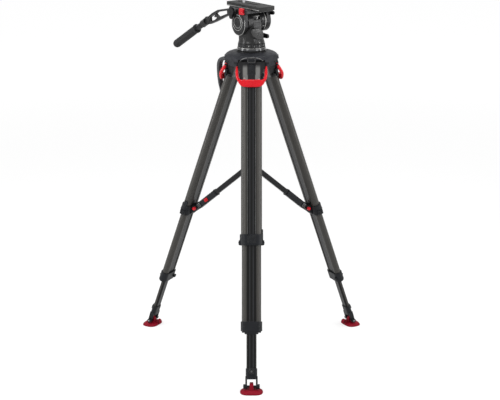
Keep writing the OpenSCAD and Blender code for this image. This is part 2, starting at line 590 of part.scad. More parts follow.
module pan_bar_arm() color(stone) {
  at_tilt() translate([bar_x, 0, bar_rise]) difference() {
    union() {
      translate([0, -57.5, 0]) rotate([90, 0, 0]) cylinder(r = 16, h = 8.5, $fn = 64);
      facing(-66, -57.5) polygon([[0, 15], [-44, 6], [-82, -2], [-114, -17], [8 - bar_reach - 6, -34],
        [-bar_reach - 12, -48], [-bar_reach - 4, -60], [-124, -56], [-92, -44], [-64, -32], [-24, -14], [0, -15]]);
      translate([-bar_reach, -57.2, -bar_fall]) rotate([90, 0, 0]) cylinder(r = 13, h = 10.2, $fn = 64);
    }
    facing(-70, -50) polygon([[-30, 2], [-80, -9], [-92, -16], [-74, -25], [-28, -8]]);
    facing(-70, -50) polygon([[-102, -20], [-124, -33], [-122, -46], [-98, -38], [-86, -30]]);
    translate([0, -50, 0]) rotate([90, 0, 0]) cylinder(r = bar_bolt + run_gap, h = 40, $fn = 32);
  }
  at_bar() difference() {
    translate([0, 0, 9]) cylinder(r = bar_tube_radius + 3, h = 22, $fn = 64);
    translate([0, 0, 15]) cylinder(r = bar_tube_radius + seat_gap, h = 60, $fn = 64);
  }
}

module pan_bar_tube() color(coal) at_bar() difference() {
  translate([0, 0, 15]) cylinder(r = bar_tube_radius, h = bar_tube_len, $fn = 64);
  for (z = [36, 54], a = [0, 90]) translate([0, 0, z + 6]) rotate([0, 0, a]) cube([2.4, 30, 12], center = true);
}

module pan_bar_grip() color(black) at_bar() difference() {
  union() {
    translate([0, 0, 76]) cylinder(r = grip_radius, h = 134, $fn = 64);
    translate([0, 0, 210]) sphere(r = grip_radius, $fn = 64);
    translate([0, 0, 71]) cylinder(r = grip_radius + 1.5, h = 9, $fn = 64);
  }
  translate([0, 0, 60]) cylinder(r = bar_tube_radius + run_gap, h = bar_tube_len - 42, $fn = 64);
  for (a = [0:45:315]) rotate([0, 0, a]) translate([grip_radius + 0.1, 0, 150]) cube([1.6, 3, 100], center = true);
}

crown();
leg_hinge_pins();
carry_handle();
spreader_hub();
leg_yoke(0);  // leg_yoke_front
leg_bail(0);  // leg_bail_front
upper_tube(0);  // upper_tube_front
upper_collar(0);  // upper_collar_front
spreader_pin(0);  // spreader_pin_front
mid_tube(0);  // mid_tube_front
mid_collar(0);  // mid_collar_front
lower_tube(0);  // lower_tube_front
foot_fork(0);  // foot_fork_front
foot_pad(0);  // foot_pad_front
spreader_sleeve(0);  // spreader_sleeve_front
spreader_button(0);  // spreader_button_front
spreader_rod(0);  // spreader_rod_front
leg_yoke(1);  // leg_yoke_right
leg_bail(1);  // leg_bail_right
upper_tube(1);  // upper_tube_right
upper_collar(1);  // upper_collar_right
spreader_pin(1);  // spreader_pin_right
mid_tube(1);  // mid_tube_right
mid_collar(1);  // mid_collar_right
lower_tube(1);  // lower_tube_right
foot_fork(1);  // foot_fork_right
foot_pad(1);  // foot_pad_right
spreader_sleeve(1);  // spreader_sleeve_right
spreader_button(1);  // spreader_button_right
spreader_rod(1);  // spreader_rod_right
leg_yoke(2);  // leg_yoke_left
leg_bail(2);  // leg_bail_left
upper_tube(2);  // upper_tube_left
upper_collar(2);  // upper_collar_left
spreader_pin(2);  // spreader_pin_left
mid_tube(2);  // mid_tube_left
mid_collar(2);  // mid_collar_left
lower_tube(2);  // lower_tube_left
foot_fork(2);  // foot_fork_left
foot_pad(2);  // foot_pad_left
spreader_sleeve(2);  // spreader_sleeve_left
spreader_button(2);  // spreader_button_left
spreader_rod(2);  // spreader_rod_left
half_ball();
ball_clamp_knob();
pan_base();
pan_drag_ring();
pan_housing();
pan_brake_lever();
tilt_brake_lever();
cradle();
tilt_drag_ring();
camera_plate();
camera_screw();
plate_lock_lever();
plate_release_button();
pan_bar_knob();
pan_bar_arm();
pan_bar_tube();
pan_bar_grip();
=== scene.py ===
"""Looks of a fluid-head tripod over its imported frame.

Lengths are written in millimetres in each piece's own frame, the same frames that the solids are
drawn in, and become metres when a mesh is made.
"""

import json
import math

import bpy
import numpy as np
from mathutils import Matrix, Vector

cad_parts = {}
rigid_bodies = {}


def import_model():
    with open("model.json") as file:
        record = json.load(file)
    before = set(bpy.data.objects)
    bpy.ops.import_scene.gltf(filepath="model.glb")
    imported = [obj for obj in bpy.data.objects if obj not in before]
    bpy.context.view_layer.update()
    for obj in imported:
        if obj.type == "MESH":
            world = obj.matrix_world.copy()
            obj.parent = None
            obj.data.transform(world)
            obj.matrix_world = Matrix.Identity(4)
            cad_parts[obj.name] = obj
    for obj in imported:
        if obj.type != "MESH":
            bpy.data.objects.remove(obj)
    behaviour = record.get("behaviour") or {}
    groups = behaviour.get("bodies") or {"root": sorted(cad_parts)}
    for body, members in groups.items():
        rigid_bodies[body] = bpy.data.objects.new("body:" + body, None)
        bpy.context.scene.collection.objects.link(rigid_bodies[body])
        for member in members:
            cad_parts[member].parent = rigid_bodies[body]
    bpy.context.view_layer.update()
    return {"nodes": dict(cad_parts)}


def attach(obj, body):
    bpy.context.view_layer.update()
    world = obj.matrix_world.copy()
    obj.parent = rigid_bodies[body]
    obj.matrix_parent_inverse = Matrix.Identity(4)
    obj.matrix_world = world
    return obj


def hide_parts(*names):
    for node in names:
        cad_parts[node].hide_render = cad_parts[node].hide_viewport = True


for spare in list(bpy.data.objects):
    bpy.data.objects.remove(spare)
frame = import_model()
legs = ["front", "right", "left"]


# ---- frames of the tripod -------------------------------------------------------------------

def shift(x=0.0, y=0.0, z=0.0):
    """A move by x, y and z, as a 4 by 4 matrix."""
    m = np.eye(4)
    m[:3, 3] = (x, y, z)
    return m


def turn(axis, degrees):
    """A right-hand turn about one of the axes x, y or z, as a 4 by 4 matrix."""
    a = math.radians(degrees)
    i, j = {"x": (1, 2), "y": (2, 0), "z": (0, 1)}[axis]
    m = np.eye(4)
    m[i, i] = m[j, j] = math.cos(a)
    m[j, i], m[i, j] = math.sin(a), -math.sin(a)
    return m


spread = 20.0
hinge_radius, ankle_height = 54.0, 20.0
ankle_down, pivot_down, pivot_in = 1073.7, 573.0, 31.0
arm_lean, hub_radius = 50.0, 21.0
bail_y, bail_z = -12.0, -18.0
slope, drop = math.sin(math.radians(spread)), math.cos(math.radians(spread))
ankle_radius, hinge_height = hinge_radius + ankle_down * slope, ankle_height + ankle_down * drop
bowl_height = hinge_height + 33
tilt_height = bowl_height + 101
plate_top = tilt_height + 58
bar_x, bar_y, bar_rise, bar_drop = -20.0, -61.75, 33.0, 30.0
arm_radius = hinge_radius + pivot_down * slope - pivot_in * drop
arm_height = hinge_height - pivot_down * drop - pivot_in * slope
arm_length = (arm_radius - hub_radius) / math.sin(math.radians(arm_lean))
hub_height = arm_height + arm_length * math.cos(math.radians(arm_lean))

centre = shift(0, 101.5, 0)
bowl = centre @ shift(0, 0, bowl_height)
head = centre @ turn("z", -52)
tilt = head @ shift(0, 0, tilt_height)
bar = tilt @ shift(bar_x - 142, bar_y, bar_rise - 45) @ turn("y", -90 - bar_drop)
hub = centre @ shift(0, 0, hub_height)


def outward(k, radius=0, height=0):
    """Level frame on the side of leg k, at that radius from the axis and that height; minus y is outward."""
    return centre @ turn("z", 120 * k) @ shift(0, -radius, height)


def leg(k):
    """Frame of leg k: origin on its hinge, x across it, minus y outward, minus z down it."""
    return outward(k, hinge_radius, hinge_height) @ turn("x", -spread)


def foot(k):
    """Level frame at the ankle axle of leg k, minus y outward."""
    return outward(k, ankle_radius, ankle_height)


def arm(k):
    """Frame of spreader arm k: origin on its pivot, z along the arm to the hub."""
    return outward(k, arm_radius, arm_height) @ turn("x", -arm_lean)


# ---- surfaces -------------------------------------------------------------------------------

def soften(corners, radius, steps=5, loop=False):
    """A bent line through corners with each corner rounded.

    A corner c gives way to the curve (1-t)^2 a + 2 t (1-t) c + t^2 b, where a and b lie on its two
    sides, radius away from it or at most 0.48 of that side.
    """
    c = np.asarray(corners, float)
    before, after = np.roll(c, 1, 0), np.roll(c, -1, 0)
    radii = np.broadcast_to(np.asarray(radius, float), len(c))[:, None]
    back, ahead = before - c, after - c
    lb, la = np.linalg.norm(back, axis=1, keepdims=True), np.linalg.norm(ahead, axis=1, keepdims=True)
    a = c + back / np.maximum(lb, 1e-9) * np.minimum(radii, 0.48 * lb)
    b = c + ahead / np.maximum(la, 1e-9) * np.minimum(radii, 0.48 * la)
    t = np.linspace(0, 1, steps)[None, :, None]
    curve = (1 - t) ** 2 * a[:, None] + 2 * t * (1 - t) * c[:, None] + t * t * b[:, None]
    if loop:
        return curve.reshape(-1, c.shape[1])
    return np.vstack([c[:1], curve[1:-1].reshape(-1, c.shape[1]), c[-1:]])


def unit(v):
    """The rows of v, each divided by its length."""
    return v / np.maximum(np.linalg.norm(v, axis=1, keepdims=True), 1e-9)


def skin(grid, ring=False):
    """Quads over a grid of closed rows of points; ring joins the last row to the first.

    Without ring each end row becomes one flat face. Faces are turned so that the volume, the sum of
    p . (q x r) over the triangles, is positive and they point outwards.
    """
    rows, n = grid.shape[:2]
    index = np.arange(rows * n).reshape(rows, n)
    if ring:
        index = np.vstack([index, index[:1]])
    right = np.roll(index, -1, 1)
    quads = np.stack([index[:-1], right[:-1], right[1:], index[1:]], -1).reshape(-1, 4)
    faces = [quads]
    if not ring:
        faces += [index[:1, ::-1], index[-1:]]
    points = grid.reshape(-1, 3)
    middle = points - points.mean(0)
    p, q, r, s = (middle[quads[:, i]] for i in range(4))
    volume = np.einsum("ij,ij->", p, np.cross(q, r)) + np.einsum("ij,ij->", p, np.cross(r, s))
    if volume < 0:
        faces = [f[:, ::-1] for f in faces]
    return points, faces


def turned(profile, n=64, relief=None, ring=False):
    """A profile of (radius, height) points turned about z.

    The point at angle a has radius r + relief(a, height, r), so a relief that is periodic in a makes
    knurls, lobes and flutes.
    """
    p = np.asarray(profile, float)
    a = np.linspace(0, 2 * np.pi, n, endpoint=False)[None]
    r, z = p[:, :1] + 0 * a, p[:, 1:] + 0 * a
    if relief is not None:
        r = r + relief(a + 0 * r, z, r)
    return skin(np.stack([r * np.cos(a), r * np.sin(a), z], -1), ring)


def inset(outline, by):
    """The outline moved inwards by a distance, along the mean of the two normals at each point."""
    o = np.asarray(outline, float)
    d = unit(np.roll(o, -1, 0) - o)
    n = np.stack([-d[:, 1], d[:, 0]], -1)
    m = unit(n + np.roll(n, 1, 0))
    lean = np.clip((m * n).sum(1, keepdims=True), 0.5, 1)
    return o + m * by / lean


def slab(outline, low, high, edge=0.8, steps=3, crown=0.0):
    """A plate of an outline in x and y, from low to high, with edges rounded by a quarter circle.

    At the angle t of that quarter circle the outline is inset by edge (1 - sin t) and lies
    edge (1 - cos t) from the face. The outline runs counter-clockwise.
    """
    t = np.linspace(0, np.pi / 2, steps + 1)
    rows = [(edge * (1 - math.sin(a)), low + edge * (1 - math.cos(a))) for a in t]
    rows += [(edge * (1 - math.sin(a)), high - edge * (1 - math.cos(a))) for a in t[::-1]]
    if crown:
        rows.append((edge + 3 * crown, high + crown))
    loops = [np.column_stack([inset(outline, by), np.full(len(outline), z)]) for by, z in rows]
    return skin(np.stack(loops))


def box_outline(w, d, r, steps=5):
    """A w by d rectangle about the origin, with corners rounded by r, counter-clockwise."""
    return soften([(w / 2, -d / 2), (w / 2, d / 2), (-w / 2, d / 2), (-w / 2, -d / 2)], r, steps, True)


def ribs(w, d, r, high, edge, steps, places):
    """Low bars, w by d with corners rounded by r, one at each of the places."""
    return several(slab(box_outline(w, d, r, steps), 0, high, edge, 2), places)


def carried(section, path, side, ring=False):
    """A section of (across, up) points carried along a path.

    At each path point the section lies in the plane of the side vector and of up = side x tangent,
    where the tangent is the difference of the neighbours. The section may have one outline per point.
    """
    p = np.asarray(path, float)
    if ring:
        tangent = np.roll(p, -1, 0) - np.roll(p, 1, 0)
    else:
        tangent = np.gradient(p, axis=0)
    tangent = unit(tangent)
    s = np.broadcast_to(np.asarray(side, float), p.shape)
    s = unit(s - tangent * (s * tangent).sum(1, keepdims=True))
    up = np.cross(s, tangent)
    o = np.broadcast_to(np.asarray(section, float), (len(p), *np.asarray(section).shape[-2:]))
    return skin(p[:, None] + o[..., :1] * s[:, None] + o[..., 1:] * up[:, None], ring)


def cap_screw(d, high, deep=None):
    """A round screw head, d across and high tall, with a six-sided socket.

    The socket's wall at angle a is the flat's distance divided by cos(a within its sixth - 30 degrees).
    """
    r, flat, deep = d / 2, d * 0.27, deep or high * 0.6
    a = np.linspace(0, 2 * np.pi, 36, endpoint=False)
    six = flat / np.cos(np.mod(a, np.pi / 3) - np.pi / 6)
    bevel = min(0.22 * high, 0.12 * d)
    rows = [(r + 0 * a, 0), (r + 0 * a, high - bevel), (r - bevel * 0.3 + 0 * a, high - bevel * 0.3),
            (r - bevel + 0 * a, high), (six * 1.08, high), (six, high - 0.1 * high), (six, high - deep)]
    return skin(np.stack([np.column_stack([q * np.cos(a), q * np.sin(a), 0 * a + z]) for q, z in rows]))


def flat_ring(section, outline):
    """A section carried round a closed outline in the plane of x and y."""
    return carried(section, np.column_stack([outline, np.zeros(len(outline))]), (0, 0, 1), True)


def moved(shape, at):
    """The same skin placed by a 4 by 4 matrix."""
    points, faces = shape
    return points @ at[:3, :3].T + at[:3, 3], faces


def several(shape, places):
    """Copies of one skin at each of the places, as one skin."""
    points, faces = shape
    every = np.concatenate([points @ at[:3, :3].T + at[:3, 3] for at in places])
    steps = np.arange(len(places)) * len(points)
    return every, [(f[None] + steps[:, None, None]).reshape(-1, f.shape[1]) for f in faces]


def screws(d, high, places, deep=None):
    """Screw heads at the places, as one skin."""
    return several(cap_screw(d, high, deep), places)


def together(*shapes):
    """Several skins as one."""
    points, faces, base = [], [], 0
    for p, f in shapes:
        points.append(p)
        faces += [g + base for g in f]
        base += len(p)
    return np.concatenate(points), faces


def into_scene(name, data):
    """A new object in the scene, unmoved, for a mesh, a curve, a lamp or a camera."""
    thing = bpy.data.objects.new(name, data)
    bpy.context.scene.collection.objects.link(thing)
    return thing


def piece(name, body, parts, stands_for=(), smooth=32):
    """One shown piece from (skin, frame, finish) parts, its place written into its mesh, in metres."""
    points, corners, totals, which, finishes, base = [], [], [], [], [], 0
    for shape, at, finish in parts:
        p, faces = moved(shape, at)
        if np.linalg.det(at[:3, :3]) < 0:
            faces = [f[:, ::-1] for f in faces]
        if finish not in finishes:
            finishes.append(finish)
        for f in faces:
            corners.append((f + base).ravel())
            totals.append(np.full(len(f), f.shape[1]))
            which.append(np.full(len(f), finishes.index(finish)))
        points.append(p / 1000.0)
        base += len(p)
    points, corners = np.concatenate(points), np.concatenate(corners).astype(np.int32)
    totals, which = np.concatenate(totals).astype(np.int32), np.concatenate(which).astype(np.int32)
    mesh = bpy.data.meshes.new(name)
    mesh.vertices.add(len(points))
    mesh.vertices.foreach_set("co", points.astype(np.float32).ravel())
    mesh.loops.add(len(corners))
    mesh.loops.foreach_set("vertex_index", corners)
    mesh.polygons.add(len(totals))
    mesh.polygons.foreach_set("loop_start", np.concatenate([[0], np.cumsum(totals)[:-1]]).astype(np.int32))
    mesh.polygons.foreach_set("loop_total", totals)
    mesh.polygons.foreach_set("material_index", which)
    mesh.polygons.foreach_set("use_smooth", np.ones(len(totals), bool))
    mesh.update(calc_edges=True)
    mesh.validate()
    mesh.set_sharp_from_angle(angle=math.radians(smooth))
    for finish in finishes:
        mesh.materials.append(finish)
    thing = into_scene(name, mesh)
    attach(thing, body)
    if stands_for:
        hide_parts(*stands_for)


def digits(words, size, thick):
    """Raised numbers in the plane of x and y, as a skin in millimetres."""
    curve = bpy.data.curves.new("digits", "FONT")
    curve.body, curve.size, curve.extrude = words, size, thick / 2
    curve.align_x, curve.align_y, curve.resolution_u = "CENTER", "CENTER", 3
    thing = into_scene("digits", curve)
    mesh = bpy.data.meshes.new_from_object(thing.evaluated_get(bpy.context.evaluated_depsgraph_get()))
    mesh.calc_loop_triangles()
    points = np.zeros(len(mesh.vertices) * 3, np.float32)
    mesh.vertices.foreach_get("co", points)
    triangles = np.zeros(len(mesh.loop_triangles) * 3, np.int32)
    mesh.loop_triangles.foreach_get("vertices", triangles)
    bpy.data.objects.remove(thing)
    bpy.data.curves.remove(curve)
    bpy.data.meshes.remove(mesh)
    return points.reshape(-1, 3).astype(float), [triangles.reshape(-1, 3)]


def wrapped(shape, radius):
    """A flat skin bent round a drum about z: x becomes the angle x / radius, y the height, and z adds to the
    radius."""
    points, faces = shape
    a = points[:, 0] / radius
    r = radius + points[:, 2]
    return np.column_stack([r * np.sin(a), -r * np.cos(a), points[:, 1]]), faces


# lie stands a piece's own z along an axis, and aside along x, to the side of a sign
both = (-1, 1)
lie = {"x": turn("y", 90), "-x": turn("y", -90), "y": turn("x", -90), "-y": turn("x", 90)}
aside = {1: lie["x"], -1: lie["-x"]}


# ---- finishes -------------------------------------------------------------------------------

def metres(m):
    """The same placing with its move in metres instead of millimetres."""
    out = m.copy()
    out[:3, 3] /= 1000.0
    return out


class Nodes:
    """A node tree, built from left to right."""

    def __init__(self, tree):
        self.nodes, self.links = tree.nodes, tree.links

    def add(self, kind, inputs=None, **settings):
        """A new node; inputs holds a socket to link, or a constant, for each of its inputs."""
        node = self.nodes.new(kind)
        for key, value in settings.items():
            setattr(node, key, value)
        for key, value in (inputs or {}).items():
            if isinstance(value, bpy.types.NodeSocket):
                self.links.new(value, node.inputs[key])
            else:
                node.inputs[key].default_value = value
        return node

    def math(self, operation, a, b=0.0):
        """The operation on the numbers a and b."""
        return self.add("ShaderNodeMath", {0: a, 1: b}, operation=operation).outputs[0]

    def vector(self, operation, a, b=(0, 0, 0), result=0):
        """The operation on the vectors a and b; result names the wanted output."""
        return self.add("ShaderNodeVectorMath", {0: a, 1: b}, operation=operation).outputs[result]

    def shown(self):
        """1 to the camera, in gloss and through glass, and 0 for the light that is passed on."""
        path = self.add("ShaderNodeLightPath").outputs
        seen = self.math("MAXIMUM", path["Is Camera Ray"], path["Is Glossy Ray"])
        return self.math("MAXIMUM", seen, path["Is Transmission Ray"])


class Finish(Nodes):
    """One node material. With at, its place is told in that frame instead of the shared one."""

    def __init__(self, name, at=None):
        self.material = bpy.data.materials.new(name)
        self.material.use_nodes = True
        super().__init__(self.material.node_tree)
        self.shader = self.nodes["Principled BSDF"]
        self.place = self.add("ShaderNodeTexCoord").outputs["Object"]
        if at is not None:
            inverse = np.linalg.inv(metres(at))
            rows = {i: self.dot(self.place, inverse[i, :3], inverse[i, 3]) for i in range(3)}
            self.place = self.add("ShaderNodeCombineXYZ", rows).outputs[0]

    def dot(self, vector, weights, offset):
        """The dot product of vector and weights, plus offset."""
        return self.math("ADD", self.vector("DOT_PRODUCT", vector, tuple(weights), "Value"), float(offset))

    def split(self):
        """The x, y and z of the place."""
        return self.add("ShaderNodeSeparateXYZ", {0: self.place}).outputs

    def noise(self, size, detail=2.0, stretch=None):
        """Soft noise whose lumps are about size millimetres wide."""
        where = self.place
        if stretch:
            where = self.vector("MULTIPLY", where, stretch)
        inputs = {"Vector": where, "Scale": 1000.0 / size, "Detail": detail}
        return self.add("ShaderNodeTexNoise", inputs).outputs[0]

    def band(self, value, low, high, to_low=0.0, to_high=1.0):
        """A smooth step from to_low, where value is low, up to to_high, where it is high."""
        inputs = {0: value, 1: low, 2: high, 3: to_low, 4: to_high}
        return self.add("ShaderNodeMapRange", inputs, interpolation_type="SMOOTHSTEP").outputs[0]

    def blend(self, share, a, b):
        """The number a where share is 0 and b where it is 1."""
        return self.add("ShaderNodeMix", {0: share, 2: a, 3: b}).outputs[0]

    def mix(self, share, a, b):
        """The colour a where share is 0 and b where it is 1."""
        a, b = (c if isinstance(c, bpy.types.NodeSocket) else (*c, 1.0) for c in (a, b))
        return self.add("ShaderNodeMix", {0: share, 6: a, 7: b}, data_type="RGBA").outputs[2]

    def bump(self, height, distance, strength, under):
        """The normal under, tilted by the slope of height, where a height of 1 is distance millimetres."""
        inputs = {"Height": height, "Distance": distance / 1000.0, "Strength": strength, "Normal": under}
        return self.add("ShaderNodeBump", inputs).outputs[0]

    def uneven_gloss(self, size, low, high):
        """Roughness that drifts between low and high over lumps of size millimetres."""
        return self.band(self.noise(size, 3), 0.3, 0.7, low, high)

    def edges(self, radius):
        """The normal rounded over radius, and how much it turns there: near 1 on an edge, 0 on a flat."""
        round_edge = self.add("ShaderNodeBevel", {"Radius": radius / 1000.0}, samples=4).outputs[0]
        face = self.add("ShaderNodeNewGeometry").outputs["Normal"]
        same = self.vector("DOT_PRODUCT", round_edge, face, "Value")
        return round_edge, self.band(self.math("SUBTRACT", 1.0, same), 0.02, 0.22)

    def set(self, **sockets):
        """The finished material; a socket's name has _ for each space."""
        for key, value in sockets.items():
            socket = self.shader.inputs[key.replace("_", " ")]
            if isinstance(value, bpy.types.NodeSocket):
                self.links.new(value, socket)
            else:
                socket.default_value = value
        return self.material


def coated(name, colour, rough, metal=0.0, depth=0.03, wear_and_highlight=0.25, worn_and_highlight_colour=None, coat=0.0, spread_of_tone=0.12,
           shine=0.15):
    """A cast or moulded surface: fine grain, slow drift of tone, rounded edges that are paler in patches,
    partly from rubbing and partly as a painted edge highlight.
    """
    f = Finish(name)
    slow, fine = f.noise(38, 3), f.noise(0.35, 2)
    rounded, edge_share = f.edges(0.6)
    dark = tuple(c * (1 - spread_of_tone) for c in colour)
    light = tuple(min(1, c * (1 + spread_of_tone)) for c in colour)
    tone = f.mix(f.band(slow, 0.35, 0.65), dark, light)
    # paler patches on the edges: partly real rubbing, partly a painted edge highlight standing for the lamps'
    # light on the rounded edges
    patch = f.band(f.noise(5, 4), 0.42, 0.62)
    rubbed_and_lit_edge = f.math("MULTIPLY", f.math("MULTIPLY", edge_share, patch), wear_and_highlight)
    tone = f.mix(rubbed_and_lit_edge, tone, worn_and_highlight_colour or tuple(min(1, c * 2.2 + 0.12) for c in colour))
    roughness = f.uneven_gloss(9, rough - 0.06, rough + 0.07)
    return f.set(Base_Color=tone, Metallic=metal, Roughness=roughness, Coat_Weight=coat, Coat_Roughness=0.12,
                 Specular_IOR_Level=shine, Normal=f.bump(fine, depth, 0.6, rounded))


def machined(name, colour, rough):
    """Turned or brushed metal: fine scratches, a little drift in gloss."""
    f = Finish(name)
    rounded, _ = f.edges(0.35)
    scratch = f.noise(0.5, 4, (1.0, 1.0, 0.06))
    tone = f.mix(f.band(scratch, 0.3, 0.7), tuple(c * 0.82 for c in colour), colour)
    roughness = f.uneven_gloss(6, rough - 0.07, rough + 0.1)
    return f.set(Base_Color=tone, Metallic=1.0, Roughness=roughness,
                 Normal=f.bump(scratch, 0.02, 0.35, rounded))


def woven(name, at, tow, tint, lobes):
    """Clear-coated carbon cloth in a two-over-two twill, on the leg's own x and z.

    The cell number across plus the cell number along, taken modulo four, tells which thread lies on
    top; each thread is highest along its own middle, as the sine of the way across it. With lobes the
    cloth outside the dark channel, which ends 16 each side of the middle and has two fine ridges, is
    painted paler: a painted highlight that stands for the lamps' reflection on the rounded lobes.
    """
    f = Finish(name, at)
    x, y, z = f.split()
    across = f.math("DIVIDE", f.math("ADD", x, f.math("MULTIPLY", y, 0.9)), tow / 1000.0)
    along = f.math("DIVIDE", z, tow / 1000.0)
    cell = f.math("ADD", f.math("FLOOR", across), f.math("FLOOR", along))
    over = f.math("LESS_THAN", f.math("FLOORED_MODULO", cell, 4.0), 1.5)
    lift_warp = f.math("SINE", f.math("MULTIPLY", f.math("FRACT", across), math.pi))
    lift_weft = f.math("SINE", f.math("MULTIPLY", f.math("FRACT", along), math.pi))
    lift = f.blend(over, lift_weft, lift_warp)
    strand = f.noise(0.9, 3, (1.0, 1.0, 0.2))
    # painted sheen: where one set of threads lies on top the cloth is drawn 1.5 times lighter, standing for
    # the fibres' different gloss along and across
    tone = f.mix(over, tint, tuple(c * 1.5 for c in tint))
    tone = f.mix(f.band(strand, 0.35, 0.7, 0.0, 0.3), tone, tuple(c * 2.2 for c in tint))
    if lobes:
        out = f.math("ABSOLUTE", x)
        # painted highlight: outside the dark channel the cloth is made about 3.5 times paler and warmer,
        # standing for the lamps' reflection on the rounded lobes
        pale = f.vector("MULTIPLY", tone, (3.7, 3.55, 3.2))
        dark = f.vector("MULTIPLY", tone, (0.3, 0.3, 0.3))
        line = f.band(f.math("ABSOLUTE", f.math("SUBTRACT", out, 0.0055)), 0.0003, 0.0009, 1.0, 0.0)
        tone = f.mix(f.band(out, 0.0152, 0.0172), f.mix(line, dark, (0.06, 0.064, 0.07)), pale)
    rounded, _ = f.edges(0.5)
    return f.set(Base_Color=tone, Metallic=0.25, Roughness=f.blend(over, 0.36, 0.46), Coat_Weight=0.3,
                 Coat_Roughness=0.16, Coat_IOR=1.3, Specular_IOR_Level=0.12,
                 Normal=f.bump(lift, 0.06, 0.4, rounded))


def yoke_paint(name, at):
    """Satin paint of a leg yoke, near black, with painted light on it: a painted highlight makes its two
    lobes,
    12 to 28 each side of the middle, pale grey; between them, outside them and up under the crown, where
    the highlight fades out as painted shade, it stays near black. A painted edge highlight makes its edges
    paler."""
    f = Finish(name, at)
    x, _, z = f.split()
    out = f.math("ABSOLUTE", x)
    # painted highlight: a mask that is 1 on the two lobes, 12 to 28 each side of the middle
    lobe = f.math("MULTIPLY", f.band(out, 0.011, 0.014), f.band(out, 0.026, 0.031, 1.0, 0.0))
    # painted shade: the highlight fades out up under the crown
    lobe = f.math("MULTIPLY", lobe, f.band(z, -0.022, -0.006, 1.0, 0.0))
    rounded, edge_share = f.edges(0.6)
    tone = f.mix(lobe, (0.018, 0.018, 0.019), (0.17, 0.17, 0.165))
    # painted edge highlight: the rounded edges are painted a paler grey
    tone = f.mix(f.math("MULTIPLY", edge_share, 0.35), tone, (0.22, 0.22, 0.22))
    return f.set(Base_Color=tone, Metallic=0.35, Roughness=f.uneven_gloss(9, 0.28, 0.4),
                 Specular_IOR_Level=0.15, Normal=f.bump(f.noise(0.35, 2), 0.03, 0.6, rounded))


def rubber(name, colour, grain):
    """Matt rubber with pebbles of grain millimetres, dusty in patches and paler on its edges."""
    f = Finish(name)
    cells = {"Vector": f.place, "Scale": 1000.0 / grain}
    pebble = f.add("ShaderNodeTexVoronoi", cells).outputs["Distance"]
    rounded, edge_share = f.edges(0.7)
    dust = f.band(f.noise(14, 4), 0.45, 0.75, 0.0, 0.1)
    tone = f.mix(dust, colour, tuple(c * 0.8 + 0.04 for c in colour))
    tone = f.mix(f.math("MULTIPLY", edge_share, 0.18), tone, tuple(min(1, c * 1.6 + 0.03) for c in colour))
    return f.set(Base_Color=tone, Roughness=f.uneven_gloss(7, 0.54, 0.7), Specular_IOR_Level=0.13,
                 Normal=f.bump(pebble, 0.05, 0.5, rounded))


casting = coated("crown_casting_coat", (0.022, 0.023, 0.027), rough=0.5, metal=0.15, depth=0.05, wear_and_highlight=0.4,
                 shine=0.1)
yoke_coat = coated("yoke_satin_coat", (0.1, 0.102, 0.102), rough=0.36, metal=0.45, depth=0.03, wear_and_highlight=0.35)
# the pinkish edge colour of the red mouldings is partly real rubbing and partly a painted highlight
bail_red = coated("bail_red_moulding", (0.56, 0.005, 0.012), rough=0.3, depth=0.012, wear_and_highlight=0.12,
                  worn_and_highlight_colour=(0.85, 0.2, 0.18), coat=0.22, spread_of_tone=0.06)
small_red = coated("small_red_moulding", (0.5, 0.004, 0.012), rough=0.28, depth=0.01, wear_and_highlight=0.1,
                   worn_and_highlight_colour=(0.85, 0.22, 0.2), coat=0.2, spread_of_tone=0.05)
collar_black = coated("collar_black_moulding", (0.010, 0.011, 0.013), rough=0.36, depth=0.035)
hub_black = coated("hub_black_moulding", (0.014, 0.015, 0.017), rough=0.4, depth=0.035)
head_coat = coated("head_grey_coat", (0.02, 0.02, 0.021), rough=0.3, metal=0.35, depth=0.035, wear_and_highlight=0.6)
head_mid = coated("head_mid_grey_coat", (0.027, 0.027, 0.0275), rough=0.28, metal=0.4, depth=0.03, wear_and_highlight=0.6)
plate_coat = coated("plate_black_coat", (0.04, 0.04, 0.04), rough=0.68, depth=0.04, wear_and_highlight=0.4, shine=0.08)
lever_grey = coated("lever_grey_coat", (0.05, 0.05, 0.05), rough=0.3, metal=0.4, depth=0.03, wear_and_highlight=0.5)
head_light = coated("head_light_coat", (0.25, 0.25, 0.245), rough=0.32, metal=0.6, depth=0.02, wear_and_highlight=0.3)
head_black = coated("head_black_moulding", (0.009, 0.009, 0.010), rough=0.32, depth=0.025, wear_and_highlight=0.3)
base_gloss = coated("base_gloss_black", (0.04, 0.041, 0.043), rough=0.2, metal=0.7, depth=0.006, coat=0.5)
dial_white = coated("dial_white_paint", (0.62, 0.62, 0.6), rough=0.5, depth=0.01, wear_and_highlight=0.0,
                    spread_of_tone=0.05)
bare_steel = machined("turned_steel", (0.56, 0.56, 0.57), rough=0.28)
bright_ring = machined("turned_aluminium", (0.72, 0.72, 0.71), rough=0.24)
foot_rubber = rubber("foot_red_rubber", (0.2, 0.002, 0.012), grain=0.6)
handle_rubber = rubber("handle_grey_rubber", (0.07, 0.072, 0.075), grain=0.8)
grip_rubber = rubber("grip_black_rubber", (0.018, 0.018, 0.019), grain=0.7)
yoke_finishes = [yoke_paint("yoke_paint_" + legs[k], leg(k)) for k in range(3)]
leg_cloth = [woven("leg_carbon_" + legs[k], leg(k), 1.5, (0.0095, 0.0095, 0.0098), True) for k in range(3)]
arm_cloth = [woven("arm_carbon_" + legs[k], arm(k), 1.2, (0.006, 0.0062, 0.0068), False) for k in range(3)]

